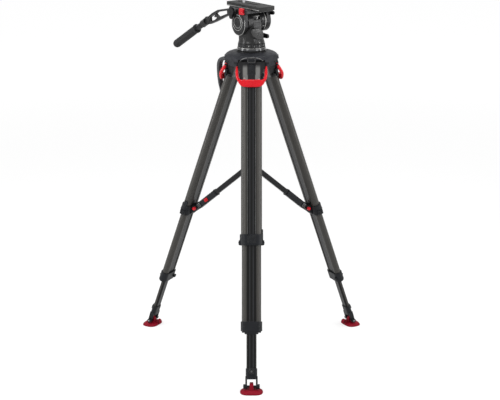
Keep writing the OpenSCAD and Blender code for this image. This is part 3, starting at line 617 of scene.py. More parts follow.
wears = {
    "crown": casting, "leg_hinge_pins": collar_black, "carry_handle": handle_rubber,
    "spreader_hub": hub_black, "half_ball": head_black, "ball_clamp_knob": head_black,
    "pan_base": head_coat, "pan_drag_ring": head_black, "pan_housing": head_mid,
    "pan_brake_lever": lever_grey, "tilt_brake_lever": head_black, "cradle": head_coat,
    "tilt_drag_ring": head_black, "camera_plate": plate_coat, "plate_lock_lever": head_black,
    "plate_release_button": small_red, "camera_screw": bare_steel, "pan_bar_knob": head_black,
    "pan_bar_arm": head_mid, "pan_bar_tube": head_coat, "pan_bar_grip": grip_rubber,
}
for k, side in enumerate(legs):
    of_one_leg = {
        "leg_yoke_": yoke_finishes[k], "leg_bail_": bail_red, "upper_tube_": leg_cloth[k],
        "upper_collar_": collar_black, "mid_tube_": leg_cloth[k], "mid_collar_": collar_black,
        "lower_tube_": leg_cloth[k], "foot_fork_": collar_black, "foot_pad_": foot_rubber,
        "spreader_pin_": small_red, "spreader_sleeve_": collar_black, "spreader_rod_": arm_cloth[k],
        "spreader_button_": small_red,
    }
    wears.update({node + side: finish for node, finish in of_one_leg.items()})
for node, finish in wears.items():
    mesh = frame["nodes"][node].data
    mesh.materials.clear()
    mesh.materials.append(finish)


# ---- crown ----------------------------------------------------------------------------------

def arch_height(r):
    """Height of the crown's top skin at radius r, read along its straight steps."""
    return np.interp(r, [60, 72, 80, 86, 90, 92.5], bowl_height - np.array([0, 2, 5, 9.5, 15, 22]))


face_out, catch_height = 83.0, hinge_height + 15.5
across_face = np.linspace(-38, 38, 41)
arch_path = np.column_stack([across_face, 0 * across_face - face_out,
                             arch_height(np.hypot(across_face, face_out)) - 0.9])
lip = carried(box_outline(1.9, 2.0, 0.7, 3), arch_path, (0, 1, 0))
tab_frame = flat_ring(box_outline(3.4, 3.0, 1.0, 3), box_outline(24, 13.5, 3.5))
tab_pad = slab(box_outline(18.4, 6.4, 1.6), 0, 1.4, 0.5)
tab_at = shift(0, -face_out - 1.4, catch_height) @ lie["-y"]
pad_at = shift(0, -face_out + 0.8, catch_height - 2.5) @ lie["-y"]
face_screws = screws(6, 1.6, [shift(s * 34, -face_out, catch_height) @ lie["-y"] for s in both])
pin_ends = screws(9.2, 1.4, [shift(s * 55.6, -hinge_radius, hinge_height) @ aside[s] for s in both], 1.0)
face_frames = [outward(k) for k in range(3)]
piece("crown_arch_lips", "crown", [(lip, f, head_light) for f in face_frames]
      + [(face_screws, f, collar_black) for f in face_frames])
piece("crown_catch_frames", "crown", [(tab_frame, f @ tab_at, lever_grey) for f in face_frames]
      + [(tab_pad, f @ pad_at, hub_black) for f in face_frames])
piece("hinge_pin_ends", "crown", [(pin_ends, f, collar_black) for f in face_frames])


# ---- leg tops: yokes, red bails, carry handle -----------------------------------------------

bail_side, bail_bottom = 48.6, -70.6
bail_half = [(24, bail_bottom), (37, -66), (45.5, -56), (bail_side, -44), (bail_side, -12.6)]
bail_line = soften([(-x, z) for x, z in bail_half[::-1]] + bail_half, 14, 9)
bail_depth = np.interp(bail_line[:, 1], [bail_bottom, -58, -44, -24, -12],
                       [-21.9, -21.7, -18.7, -13.4, -12.6])
bail_path = np.column_stack([bail_line[:, 0], bail_depth, bail_line[:, 1]])
# how far each point of the line is on the bar: 0 on the arms, 1 on the bar, eased between
low_part = np.clip((45 - np.abs(bail_line[:, 0])) / 19, 0, 1) * (bail_line[:, 1] < -45)
low_part = (low_part * low_part * (3 - 2 * low_part))[:, None]


def bail_skin():
    """The bail's two arms and bar: a rounded square section, narrow on the arms and wide on the bar, carried
    along a U whose depth follows the yoke. Its front is swollen by 0.162 (1 - u^2), u being the share of the
    way across, and its ends shrink to a rounded tip."""
    tangent = unit(np.gradient(bail_path, axis=0))
    inward = unit(np.column_stack([-tangent[:, 2], 0 * tangent[:, 0], tangent[:, 0]]))
    half = 4.8 + 7.8 * low_part[:, 0] + 1.0 * np.exp(-((bail_line[:, 1] + 15) / 9) ** 2)
    deep = 5.2 - 0.8 * low_part[:, 0]
    along = np.linspace(-1, 1, len(bail_path))
    end = np.sqrt(np.clip(1 - ((np.abs(along) - 0.975) / 0.025).clip(0, 1) ** 2, 0.3, 1))
    a = np.linspace(0, 2 * np.pi, 36, endpoint=False)
    squareness = 3.2
    u = np.sign(np.cos(a)) * np.abs(np.cos(a)) ** (2 / squareness)
    v = np.sign(np.sin(a)) * np.abs(np.sin(a)) ** (2 / squareness)
    v = v - 0.162 * (1 - u * u) * (v < 0)
    sideways = u[None, :, None] * (half * end)[:, None, None]
    outwards = v[None, :, None] * (deep * end)[:, None, None]
    return skin(bail_path[:, None] + inward[:, None] * sideways + np.array([0, 1.0, 0]) * outwards)


bail_shape = bail_skin()
yoke_face = shift(0, -23, 0) @ turn("x", 9)
panel = slab(soften([(-12.2, -46), (12.2, -46), (12.2, -8.4), (-12.2, -8.4)], 2.2, 4, True), 0, 1.6, 0.6)
panel_ribs = ribs(18, 1.0, 0.45, 0.8, 0.35, 3, [shift(0, z, 1.5) for z in (-34, -31, -28)])
panel_screws = screws(5.2, 1.2, [shift(s * 7.6, z, 1.4) for s in both for z in (-13, -41)])
web_outline = soften([(-26, -70), (26, -70), (41, -57), (42, -34), (-42, -34), (-41, -57)], 4, 4, True)
web = slab(web_outline, -4, 4, 1.2)
for k, side in enumerate(legs):
    here = leg(k)
    piece("bail_" + side, "bail_" + side, [(bail_shape, here, bail_red)], ["leg_bail_" + side], 50)
    face = here @ yoke_face @ shift(0, 2.2, 0) @ turn("x", 90)
    piece("yoke_panel_" + side, "leg_" + side, [(web, here @ shift(0, -8, 0) @ turn("x", 90), hub_black),
          (panel, face, hub_black), (panel_ribs, face, hub_black), (panel_screws, face, collar_black)])
    pivots = [here @ shift(s * 52.4, bail_y, bail_z) @ aside[s] for s in both]
    piece("bail_pivot_screws_" + side, "leg_" + side,
          [(cap_screw(6.2, 0.9), p, collar_black) for p in pivots])

handle_line = soften([(-18.5, -12), (-40, -16.5), (-58.5, -26), (-60.5, -42), (-55, -60), (-45.5, -83),
                      (-32, -110), (-20.5, -130)], 14, 9)
handle_path = np.column_stack([0 * handle_line[:, 0], handle_line])


def handle_skin():
    """A strap-like grip: an oval section 26 wide with shallow grooves along its faces, carried along the
    bowed line; its thickness swells in the middle and thins towards both seats."""
    a = np.linspace(0, 2 * np.pi, 72, endpoint=False)
    u = np.sign(np.cos(a)) * np.abs(np.cos(a)) ** 0.55
    v = np.sign(np.sin(a)) * np.abs(np.sin(a)) ** 0.75
    way = np.linspace(0, 1, len(handle_path))
    thick = np.interp(way, [0, 0.1, 0.3, 0.5, 0.75, 0.93, 1], [4.6, 6.0, 7.2, 6.8, 6.2, 4.6, 3.4])
    wide = np.interp(way, [0, 0.2, 0.5, 0.9, 1], [11.4, 12.6, 13, 12.4, 10.4])
    groove = 0.55 * np.cos(2 * np.pi * u * 1.5) ** 6 * (np.abs(v) > 0.5)
    section = np.stack([wide[:, None] * u, thick[:, None] * v - np.sign(v) * groove], -1)
    return carried(section, handle_path, (1, 0, 0))


piece("carry_handle_grip", "leg_left", [(handle_skin(), leg(2), handle_rubber)], ["carry_handle"],
      50)


# ---- tubes, collars and feet ----------------------------------------------------------------

rail = soften([(-0.75, -0.7), (0.75, -0.7), (0.75, 0.35), (-0.75, 0.35)], 0.45, 3, True)
rail_top, rail_end = -62, -572
collar_down, lower_collar_down, badge_down = 589.0, 876.0, 1024.0
dome_radius, dome_down = 97.5, 86.0


def pad_skin():
    """A domed oval sole, 76 by 56.

    Each row is the oval times a share. The rim rows rise at set heights; inside, the height of a point
    is that of a sphere of radius 97.5 whose centre lies 86 below the sole. Shallow flutes, a raised
    cosine of the place round the rim, run down the outer band.
    """
    oval = soften([(38, -30), (38, 26), (-38, 26), (-38, -30)], 27.5, 19, True)
    share = np.array([0.95, 0.985, 1, 1, 0.985, 0.955,
                      0.93, 0.915, 0.9, 0.84, 0.76, 0.66, 0.54, 0.4, 0.25, 0.1])
    rim = np.array([0, 0.5, 1.6, 2.7, 3.9, 5.0] + [-1] * 10, float)
    xy = oval[None] * share[:, None, None]
    round_top = np.sqrt(dome_radius ** 2 - (xy ** 2).sum(-1)) - dome_down
    groove = np.interp(share, [0.89, 0.9, 0.915, 0.93, 0.94], [0, 0.8, 0.8, 0, 0])[:, None]
    z = np.where(rim[:, None] >= 0, rim[:, None], round_top - groove)
    place = np.linspace(0, 2 * np.pi, len(oval), endpoint=False)[None]
    flute = 0.5 * (1 + np.cos(38 * place)) * np.interp(rim, [-1, 0, 1.6, 3.9, 5], [0, 0, 1, 1, 0])[:, None]
    xy = xy * (1 - 0.014 * flute[..., None])
    return skin(np.concatenate([xy, z[..., None]], -1))


lug_outline = soften([(-16, -13), (16, -13), (10.6, 3), (8, 9), (0, 11.4), (-8, 9), (-10.6, 3)], 5, 6, True)
lug = slab(lug_outline, -6.5, 6.5, 1.4)
hook_turn = np.radians(np.linspace(215, -62, 15))
hook_line = np.column_stack([0 * hook_turn, 27 + 7.2 * np.cos(hook_turn), -5.4 + 7.2 * np.sin(hook_turn)])
hook = carried(box_outline(12, 3.4, 1.4), hook_line, (1, 0, 0))
hook_root = slab(soften([(13, -13.2), (24, -13.2), (24, -9.4), (21.6, -4), (17, -6)], 2, 4, True), -6, 6, 1.0)
axle_knob = turned(soften([(2, 0), (7.6, 0), (8, 1.2), (8, 5.2), (6.9, 6.6), (4.6, 6.9), (2, 5.8)], 0.8, 4),
                   72, lambda a, z, r: -0.35 * (1 - np.cos(24 * a)) * (r > 7.3))
fork_badge = turned(soften([(9.6, 0), (9.6, 1.1), (8.6, 1.5), (6.4, 1.5), (6.0, 0.9), (2, 0.9)], 0.4, 3), 48)
collar_plate = slab(box_outline(28.6, 24.6, 2.4), -2.3, 0.4, 0.7)
collar_ribs = ribs(22, 1.3, 0.6, 0.9, 0.4, 3, [shift(0, z, 0.3) for z in (-6, -3, 0, 3, 6)])
collar_screws = screws(5.5, 1.4, [shift(x, y, 0.2) for x in (-10, 10) for y in (-9.4, 9.4)])
collar_edge = soften([(39.1, -19.1), (39.1, 19.1), (-39.1, 19.1), (-39.1, -19.1)], 19.0, 13, True)
seam = flat_ring(box_outline(1.0, 0.7, 0.3, 3), collar_edge)
lower_screws = screws(4.6, 1.6, [shift(s * 24, -15.4, 0) @ lie["-y"] for s in both])
lock_knob = turned(soften([(2, 0), (6.6, 0), (7, 1), (7, 3.6), (6, 4.6), (2, 4.6)], 0.6, 4), 60,
                   lambda a, z, r: -0.3 * (1 - np.cos(20 * a)) * (r > 6.2))
for k, side in enumerate(legs):
    here, sole = leg(k), foot(k)
    rails = [carried(rail, [(x, y, rail_top), (x, y, -320), (x, y, rail_end)], (1, 0, 0))
             for x in (-13.2, 13.2) for y in (-13.9, 13.9)]
    piece("tube_rails_" + side, "leg_" + side, [(r, here, yoke_coat) for r in rails])
    face = here @ shift(0, -19.2, -collar_down) @ lie["-y"]
    side_screws = screws(5.5, 1.3, [shift(s * 42.3, y, -collar_down - 11) @ aside[s]
                                    for s in both for y in (-4.5, 4.5)])
    piece("collar_plate_" + side, "leg_" + side, [
        (collar_plate, face, hub_black), (collar_ribs, face, hub_black), (collar_screws, face, head_coat),
        (side_screws, here, collar_black), (seam, here @ shift(0, 0, -collar_down - 2), hub_black)])
    piece("lower_collar_screws_" + side, "mid_" + side, [
        (lower_screws, here @ shift(0, 0, -lower_collar_down), head_coat),
        (lock_knob, here @ shift(-24, 16.4, -lower_collar_down - 4) @ lie["y"], collar_black)])
    piece("foot_pad_rubber_" + side, "pad_" + side, [
        (pad_skin(), sole @ shift(0, 0, -ankle_height), foot_rubber),
        (lug, sole @ lie["x"] @ turn("z", 90), foot_rubber), (hook, sole, foot_rubber),
        (hook_root, sole @ turn("z", 90) @ turn("x", 90), foot_rubber)], ["foot_pad_" + side], 40)
    ends = [here @ shift(s * 20.6, 0, -ankle_down) @ aside[s] for s in both]
    piece("axle_knobs_" + side, "lower_" + side, [(axle_knob, e, collar_black) for e in ends]
          + [(cap_screw(5, 1.0), e @ shift(0, 0, 5.7), bare_steel) for e in ends]
          + [(fork_badge, here @ shift(0, -13.9, -badge_down) @ lie["-y"], head_mid),
             (cap_screw(6, 1.4), here @ shift(0, -14.8, -badge_down) @ lie["-y"], yoke_coat)])


# ---- spreader -------------------------------------------------------------------------------

cheek_plate = slab(box_outline(13.6, 13.6, 1.8), 0, 1.3, 0.5)
cheek_ring = turned(soften([(2.6, 0), (4.9, 0), (4.9, 0.9), (2.6, 0.9)], 0.3, 3), 32, ring=True)
button_top = together(slab(box_outline(11.9, 14.9, 1.6), -1.3, 1.1, 0.6),
                      ribs(8, 1.1, 0.5, 0.7, 0.3, 3, [shift(0, y, 1.0) for y in (-4.2, -2.1, 0, 2.1, 4.2)]))
sleeve_mouth = flat_ring(box_outline(1.6, 2.4, 0.6, 3), box_outline(22.2, 22.2, 4.2))
groove_bead = slab(box_outline(2.2, 62, 1.0, 4), 0, 0.5, 0.3, 2)
hub_cap = turned(soften([(10.6, 0), (10.6, 0.8), (9.4, 1.6), (7.6, 1.6), (7.2, 1.0), (3.6, 1.0)], 0.4, 3), 48)
hub_screws = screws(6, 1.2, [shift(s * 12.1, -hub_radius, 0) @ aside[s] for s in both])
tick_short, tick_long = (slab(box_outline(w, 0.7, 0.2, 2), 0, 0.12, 0.05, 1) for w in (4.2, 7.4))
ticks = together(several(tick_short, [shift(0, z, 0) for z in range(112, 222, 5) if z % 10]),
                 several(tick_long, [shift(0, z, 0) for z in range(110, 222, 10)]))
for k, side in enumerate(legs):
    here = arm(k)
    cheeks = [here @ shift(s * 13.7, 0, 18) @ aside[s] for s in both]
    beads = [here @ shift(0, 0, 62) @ lie[way] @ shift(0, 0, 11) for way in ("y", "-y")]
    piece("sleeve_trim_" + side, "sleeve_" + side, [(cheek_plate, c, yoke_coat) for c in cheeks]
          + [(cheek_ring, c @ shift(0, 0, 1.1), collar_black) for c in cheeks]
          + [(sleeve_mouth, here @ shift(0, 0, 102.6), hub_black)]
          + [(groove_bead, b, hub_black) for b in beads])
    button_at = here @ shift(12.1, 0, 55) @ lie["x"] @ turn("z", 90)
    piece("button_cap_" + side, "button_" + side, [(button_top, button_at, small_red)],
          ["spreader_button_" + side], 40)
    piece("rod_marks_" + side, "rod_" + side, [(ticks, here @ shift(0, -8.92, 0) @ lie["-y"], head_light)])
piece("hub_caps", "hub", [(hub_cap, hub @ shift(0, 0, 11.8), hub_black),
      (hub_cap, hub @ shift(0, 0, -11.8) @ turn("x", 180), hub_black),
      (cap_screw(6.5, 2), hub @ shift(0, 0, 12.6), bare_steel)]
      + [(hub_screws, hub @ turn("z", 120 * k), bare_steel) for k in range(3)])


# ---- head -----------------------------------------------------------------------------------

knob_lobes = turned(soften([(9.2, -95.4), (20.6, -95.4), (23.4, -92), (23.4, -59), (20.4, -53), (14, -51),
                            (13.4, -37), (15, -35), (29.6, -29.6), (29.6, -28), (5.4, -28), (5, -5)], 1.6, 5),
                    120, lambda a, z, r: -2.6 * (0.5 - 0.5 * np.cos(6 * a)) ** 1.4 * (r > 20) * (z < -50))
knob_disc = turned(soften([(0.5, 0), (8.4, 0), (8.8, 1.2), (7.2, 2.2), (0.5, 2.2)], 0.5, 3), 48)
piece("ball_clamp_handle", "clamp_knob", [(knob_lobes, bowl, head_black),
      (knob_disc, bowl @ shift(0, 0, -93) @ turn("x", 180), bright_ring)],
      ["ball_clamp_knob"], 40)

base_ring = turned(soften([(38, 2.8), (45.6, 2.8), (48.6, 4.9), (48.9, 7.6), (48.6, 11), (47.6, 13.4),
                           (38, 13.4)], 1.0, 4), 128, ring=True)
light_line = turned(soften([(44, 13.4), (47.4, 13.4), (47.5, 14.2), (46.9, 15.3), (44, 15.3)], 0.3, 3), 128,
                    ring=True)
piece("head_base_ring", "ball", [(base_ring, bowl, base_gloss), (light_line, bowl, head_light)])


def numbers(count, size, radius, step):
    """Raised numbers from 0 up, round a drum of that radius, step degrees apart."""
    return together(*[moved(wrapped(digits(str(i), size, 0.5), radius), turn("z", step * i))
                      for i in range(count)])


def pan_grooves(a, z, r):
    """32 upright grooves 0.9 deep on the middle of the ring's outside."""
    return -0.9 * np.clip(0.5 + 2.2 * np.cos(32 * a), 0, 1) * (r > 44) * (z > 18) * (z < 28)


pan_ribs = turned(soften([(38.3, 15.9), (46.4, 15.9), (46.7, 16.6), (46.2, 18.4), (45.7, 26.4), (45.0, 28.2),
                          (38.3, 28.2)], 0.5, 4), 480, pan_grooves, ring=True)
piece("pan_drag_dial", "pan_drag", [(pan_ribs, bowl, head_coat),
      (numbers(8, 6.6, 45.95, 24), bowl @ shift(0, 0, 22.2) @ turn("z", -12), dial_white)],
      ["pan_drag_ring"], 40)

index_mark = slab(soften([(-1.6, 0), (1.6, 0), (0, -4.2)], 0.4, 3, True)[::-1], 0, 0.4, 0.15, 2)
window_bar = slab(box_outline(25, 3.6, 0.9), -0.4, 0.7, 0.3)
window_floor = slab(box_outline(26.4, 10.6, 1.2), 0, 0.5, 0.2)
window_leg = slab(soften([(-1.6, -5.2), (1.4, -5.2), (4.6, 5.2), (1.2, 5.2)], 0.6, 3, True), 0, 0.7, 0.25)
bar_on_drum = tilt @ shift(30.1, -2.6, 20.5) @ turn("z", 90) @ turn("x", 56)
recess_back = tilt @ shift(29.05, -3.5, 14) @ turn("z", 90) @ turn("x", 90)
index_at = bowl @ turn("z", -52) @ shift(43.6, 0, 34.4) @ turn("z", 90) @ turn("x", 76)
piece("pan_body_front", "pan", [
    (window_bar, bar_on_drum, head_light), (window_floor, recess_back, head_black),
    (window_leg, recess_back @ shift(3.5, 0, 0.4), head_light), (index_mark, index_at, dial_white)])

wing_outline = soften([(-31.6, 14.4), (-29.4, 5), (-25.8, -5.4), (-20, -11.6), (-11, -17), (2, -20.4),
                       (12.4, -21.4), (18.2, -18.8), (19.4, -12), (18.4, 4.4), (13.2, 12), (4, 17),
                       (-5, 19.4), (-21, 19.4), (-28.4, 18)], 6, 7, True)
wing = slab(wing_outline, 0.2, 5.4, 2.2, 5, crown=0.5)
wing_at = tilt @ shift(41.8, -4, -37) @ turn("z", 90) @ turn("x", 90)
piece("pan_brake_wing", "pan_brake", [(wing, wing_at, lever_grey),
      (cap_screw(7, 1.2), wing_at @ shift(0, 0, 5.5), lever_grey)], ["pan_brake_lever"], 40)


def crank(length, hub_r, tip_r, thick):
    """A small lever: a plate whose outline wraps two circles, hub_r at the origin and tip_r at length along
    x, joined by straight sides; its edges are rounded."""
    a = np.linspace(np.pi * 0.36, np.pi * 1.64, 22)
    b = np.linspace(-np.pi * 0.5, np.pi * 0.5, 14)
    tail = np.column_stack([hub_r * np.cos(a), hub_r * np.sin(a)])
    nose = np.column_stack([length + tip_r * np.cos(b), tip_r * np.sin(b)])
    return slab(np.vstack([tail, nose]), 0, thick, min(1.8, 0.4 * thick), 4)


brake_at = tilt @ shift(4, 43.8, -53.5) @ lie["y"]
piece("tilt_brake_crank", "tilt_brake", [(crank(20, 8.6, 7.2, 8.6), brake_at, head_black),
      (cap_screw(6, 1.2), brake_at @ shift(0, 0, 8.5), bare_steel)], ["tilt_brake_lever"], 40)
lock_at = tilt @ shift(27, 54.5, 27) @ lie["y"]
piece("plate_lock_crank", "plate_lock", [(crank(15, 8, 6.6, 7.4), lock_at, head_black),
      (cap_screw(5.6, 1.1), lock_at @ shift(0, 0, 7.3), bare_steel)], ["plate_lock_lever"], 40)


def cheek_outline(r):
    """An upright rounded shape: a half circle of radius r above and one 8 lower, counter-clockwise."""
    a = np.linspace(0, np.pi, 48)
    top = np.column_stack([r * np.cos(a), r * np.sin(a)])
    low = np.column_stack([-r * np.cos(a), -8.0 - r * np.sin(a)])
    return np.vstack([top, low])


cheek_radius = 32.6
cheek_face = slab(cheek_outline(cheek_radius), 0, 1.6, 1.0)
cheek_rim = flat_ring(box_outline(2.2, 5.4, 0.9, 4), cheek_outline(cheek_radius + 0.2))
medallion = turned(soften([(0.5, 0), (27.4, 0), (27.4, 0.9), (26.4, 1.5), (24.8, 1.5), (24.0, 0.5),
                           (0.5, 0.3)], 0.5, 4), 96)
medallion_ring = turned(soften([(17.2, 0.2), (19.0, 0.2), (18.8, 1.1), (17.4, 1.1)], 0.3, 3), 96, ring=True)
medallion_edge = turned(soften([(25.0, 0.8), (27.2, 0.8), (27.0, 1.9), (25.2, 1.9)], 0.3, 3), 96, ring=True)
right_cap = turned(soften([(0.5, 0), (35.6, 0), (35.6, 0.6), (33, 1.9), (24, 2.2), (22.8, 1.2),
                           (0.5, 1.0)], 0.7, 4), 96)
corner = 28 * math.sqrt(0.5)
cap_screws = screws(5, 1.3, [shift(sx * corner, sy * corner, 0.8) for sx in both for sy in both])
left_face = tilt @ shift(0, -57, 0) @ lie["-y"]
right_face = tilt @ shift(0, 54, 0) @ lie["y"]
piece("cheek_caps", "tilt", [
    # painted highlight: the rim round the near cheek takes the light grey head_light coat, standing for the
    # lamps' light on its rounded edge
    (cheek_face, left_face, head_coat), (cheek_rim, left_face @ shift(0, 0, -1.6), head_light),
    (medallion, left_face @ shift(0, 0, 1.5), head_coat),
    (medallion_ring, left_face @ shift(0, 0, 1.8), head_light),
    (medallion_edge, left_face @ shift(0, 0, 1.5), head_light),
    (right_cap, right_face, head_coat), (cap_screws, right_face, bare_steel)])


def tilt_grooves(a, z, r):
    """60 shallow grooves round the inner rim of the ring's outside."""
    return -0.5 * (0.5 + 0.5 * np.cos(60 * a)) * (r > 34) * (np.abs(z + 21) < 1.4)


tilt_ring = turned(soften([(26.4, -23.0), (35.2, -23.0), (35.9, -22), (35.9, -19.4), (35.2, -18.4),
                           (35.2, -7.2), (36.4, -6.4), (36.5, -1.4), (35.4, 0), (26.4, 0)], 0.5, 4), 360,
                   tilt_grooves, ring=True)
tilt_band = turned(soften([(35.4, -5.6), (36.7, -5.4), (36.7, -1.6), (35.4, -1.2)], 0.3, 3), 128, ring=True)
drum = tilt @ shift(0, 36.6, 0) @ lie["y"]
piece("tilt_drag_dial", "tilt_drag", [(tilt_ring, drum, head_black), (tilt_band, drum, head_light),
      (numbers(9, 9.5, 35.35, 40), drum @ shift(0, 0, -13) @ turn("z", 75), dial_white)],
      ["tilt_drag_ring"], 40)

plate_side, plate_bead_down = 32, 10.6
plate = head @ shift(-4, -1.5, plate_top)
strip = slab(box_outline(160, 4.6, 2.2), -1.0, 0.35, 0.3, 2)
strip_rib = slab(box_outline(1.4, 3.6, 0.5, 2), 0, 0.35, 0.2, 1)
strip_ribs = several(strip_rib, [shift(x, 0, 0.25) for x in np.arange(-77, 78, 3.1)])
mark_long, mark_short = (slab(box_outline(0.6, h, 0.2, 2), 0, 0.15, 0.05, 1) for h in (4.0, 2.4))
plate_marks = [several(mark_long, [shift(x) for x in range(-80, 81, 10)]),
               several(mark_short, [shift(x, -0.8) for x in range(-80, 81, 5) if x % 10])]
plate_bead = slab(box_outline(174, 2.6, 1.2), 0, 0.5, 0.3)
plate_screws = screws(7.5, 0.6, [shift(sx * 82, sy * 12, -0.6) for sx in both for sy in both], 0.5)
grip_strip = together(strip, strip_ribs)
piece("plate_top_trim", "plate", [(grip_strip, plate @ shift(0, s * 24, -0.35), grip_rubber) for s in both]
      + [(m, plate @ shift(0, -plate_side - 0.1, -4) @ lie["-y"], head_mid) for m in plate_marks]
      + [(plate_bead, plate @ shift(0, -plate_side, -plate_bead_down) @ lie["-y"], head_light),
         (plate_bead, plate @ shift(0, plate_side, -plate_bead_down) @ lie["y"], head_light),
         (plate_screws, plate, bare_steel)])


def threaded(r, low, high, pitch):
    """A rod with a screw thread: its depth at a point is a triangle wave of height / pitch - angle / turn."""
    z = np.arange(low, high, pitch / 8)
    fade = np.clip((high - z) / 1.2, 0, 1)
    shape = np.column_stack([r - 0.9 * (1 - fade), z])
    return turned(shape, 48, lambda a, z, q: -0.62 * np.abs(2 * np.mod(z / pitch - a / (2 * np.pi), 1) - 1)
                  * (z > low + 0.2))


screw_at = head @ shift(-40, -1.5, plate_top)
screw_knurl = turned(soften([(1, -16.8), (9.4, -16.8), (9.9, -16), (9.9, -9), (9.4, -8.2), (4, -8.2)],
                            0.4, 3), 160, lambda a, z, r: -0.3 * (0.5 + 0.5 * np.cos(40 * a)) * (r > 9.2))
piece("camera_screw_thread", "screw", [(threaded(4.74, -9, 9.95, 1.5875), screw_at, bare_steel),
      (screw_knurl, screw_at, bare_steel)], ["camera_screw"], 40)

release = together(slab(box_outline(20.8, 21.2, 2.6), -1.2, 7.9, 1.6, 4),
                   ribs(13, 1.2, 0.55, 0.5, 0.25, 3, [shift(0, y, 7.8) for y in (-4, -1, 2)]))
release_at = tilt @ shift(23, -55.9, 39.85) @ lie["-y"]
piece("plate_release_key", "plate_release", [(release, release_at, small_red)],
      ["plate_release_button"], 40)


# ---- pan bar --------------------------------------------------------------------------------

rosette = tilt @ shift(bar_x, 0, bar_rise)
teeth = turned(soften([(4.3, 0), (15.4, 0), (15.4, 1.2), (4.3, 1.2)], 0.3, 3), 240,
               lambda a, z, r: -0.7 * (0.5 + 0.5 * np.cos(40 * a)) * (r > 14), ring=True)


def wing_radius(a):
    """Distance from the middle to the edge of a two-lobed knob at angle a: the larger of a disc of 13 and
    the far side of the two circles of 8.2 that stand 14 above and below it."""
    share = 1 - (14 * np.cos(a) / 8.2) ** 2
    lobe = 14 * np.abs(np.sin(a)) + 8.2 * np.sqrt(share.clip(0, 1))
    return np.maximum(13.0, np.where(share > 0, lobe, 0))


around = np.linspace(0, 2 * np.pi, 144, endpoint=False)
edge_line = wing_radius(around)
edge_line = sum(np.roll(edge_line, n) for n in range(-2, 3)) / 5
knob_outline = np.column_stack([edge_line * np.cos(around), edge_line * np.sin(around)])
knob_grip = slab(knob_outline, 0.3, 8.2, 2.4, 5)
stem = turned([(4, -15), (4, 1)], 32)
knob_at = rosette @ shift(0, -66.3, 0) @ lie["-y"]
piece("pan_bar_clamp_knob", "bar_knob", [(knob_grip, knob_at, head_black), (stem, knob_at, bare_steel),
      (cap_screw(8, 1.2, 1.0), knob_at @ shift(0, 0, 8.0), head_mid)], ["pan_bar_knob"], 40)
piece("pan_bar_rosettes", "bar", [(teeth, rosette @ shift(0, -58.9, 0) @ lie["y"], head_coat)])
arm_screws = [(cap_screw(7, 1.3), rosette @ shift(x, -66, z) @ lie["-y"], head_mid)
              for x, z in ((-142, -45), (-95, -26))]
piece("pan_bar_arm_screws", "bar", arm_screws)
end_ring = turned(soften([(10.1, 31), (12.6, 31), (13.2, 31.8), (13.2, 33.6), (10.1, 33.6)], 0.4, 3), 64,
                  ring=True)
piece("pan_bar_socket_ring", "bar", [(end_ring, bar, head_black)])


def grip_relief(a, z, r):
    """Eight long flats, each with fine cross ribs: the flats are a flattened cosine of eight times the
    angle and the ribs a cosine of the height."""
    flat = np.clip(0.5 - 0.9 * np.cos(8 * a), 0, 1)
    long = np.interp(z, [92, 100, 190, 200], [0, 1, 1, 0])
    rib = 0.5 + 0.5 * np.cos(2 * np.pi * z / 3.2)
    return -(1.25 * (1 - flat) + 0.32 * rib * flat) * long


grip_collar = soften([(10.4, 71.2), (15.4, 71.2), (16, 73), (15.8, 78.5), (14.2, 81), (13.2, 88),
                      (14.4, 94), (14.4, 99)], 1.4, 5)
grip_body = np.column_stack([np.full(116, 14.4), np.linspace(100, 203, 116)])
grip_end = soften([(14.4, 204), (14.6, 212), (12.6, 220.2), (6.5, 224), (0.4, 224.3)], 4.5, 7)
grip_line = np.vstack([grip_collar, grip_body, grip_end])
piece("pan_bar_rubber_grip", "bar_grip", [(turned(grip_line, 128, grip_relief), bar, grip_rubber)],
      ["pan_bar_grip"], 50)


# ---- floor, light and camera ----------------------------------------------------------------

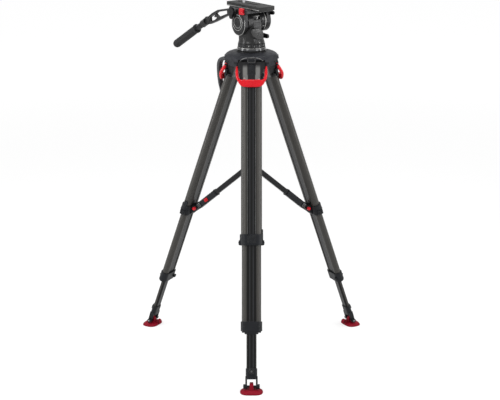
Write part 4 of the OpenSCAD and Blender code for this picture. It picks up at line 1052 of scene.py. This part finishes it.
def backdrop(name, albedo, near, far):
    """A plain pale surface: matt paint for the light it passes on. To the camera, in gloss and through glass
    it is a darker paint with a glow added, so that it reads as white and keeps its shadows. The glow rises
    from near, within 0.6 m of the middle, to far at 5 m, where less of the lamps' light arrives."""
    f = Finish(name)
    f.nodes.remove(f.shader)
    away = f.vector("LENGTH", f.place, result="Value")
    glow = f.add("ShaderNodeMapRange", {0: away, 1: 0.6, 2: 5.0, 3: near, 4: far}).outputs[0]
    plain = f.add("ShaderNodeBsdfDiffuse", {"Color": (0.7, 0.7, 0.7, 1)}).outputs[0]
    lit = f.add("ShaderNodeBsdfDiffuse", {"Color": (albedo, albedo, albedo, 1)}).outputs[0]
    emit = f.add("ShaderNodeEmission", {"Strength": glow}).outputs[0]
    glowing = f.add("ShaderNodeAddShader", {0: lit, 1: emit}).outputs[0]
    surface = f.add("ShaderNodeMixShader", {0: f.shown(), 1: plain, 2: glowing}).outputs[0]
    f.links.new(surface, f.nodes["Material Output"].inputs["Surface"])
    return f.material


floor_mesh = bpy.data.meshes.new("studio_floor")
floor_mesh.from_pydata([(-30, -30, 0), (30, -30, 0), (30, 30, 0), (-30, 30, 0)], [], [(0, 1, 2, 3)])
floor_mesh.materials.append(backdrop("studio_floor_paint", 0.35, 0.66, 0.9))
into_scene("studio_floor", floor_mesh)

world = bpy.data.worlds.new("studio")
world.use_nodes = True
bpy.context.scene.world = world
air = Nodes(world.node_tree)
sky = air.nodes["Background"]
sky.inputs["Color"].default_value = (1, 1, 1, 1)
level = air.add("ShaderNodeMapRange", {0: air.shown(), 3: 0.25, 4: 1.0}).outputs[0]
air.links.new(level, sky.inputs["Strength"])


def softbox(name, place, aim, size, power):
    """A soft rectangular lamp at place that faces aim."""
    lamp = bpy.data.lights.new(name, "AREA")
    lamp.shape, lamp.size, lamp.size_y, lamp.energy = "RECTANGLE", size[0], size[1], power
    thing = into_scene(name, lamp)
    thing.location = place
    thing.rotation_euler = (Vector(aim) - Vector(place)).to_track_quat("-Z", "Y").to_euler()


softbox("key_softbox", (-1.6, -2.2, 2.3), (0, 0.1, 0.7), (0.9, 1.8), 44)
softbox("fill_softbox", (2.0, -1.8, 1.7), (0, 0.1, 0.6), (0.9, 1.8), 26)
softbox("left_strip", (-2.5, -0.5, 1.3), (0, 0.1, 0.7), (0.5, 2.4), 40)
softbox("right_strip", (2.5, -0.4, 1.3), (0, 0.1, 0.7), (0.5, 2.4), 30)
softbox("top_softbox", (0.2, 0.4, 3.1), (0, 0.1, 0.5), (1.6, 1.6), 50)

camera_data = bpy.data.cameras.new("camera")
camera_data.sensor_width = 36.0
camera_data.lens = 2.983 * camera_data.sensor_width
camera_data.shift_x = -0.00298
camera_data.shift_y = -0.0002
camera = into_scene("camera", camera_data)
camera.location = (0, -4.8685, 1.978)
camera.rotation_euler = (math.radians(90 - 16.157), 0, 0)
bpy.context.scene.camera = camera
bpy.context.scene.view_settings.view_transform = "Standard"
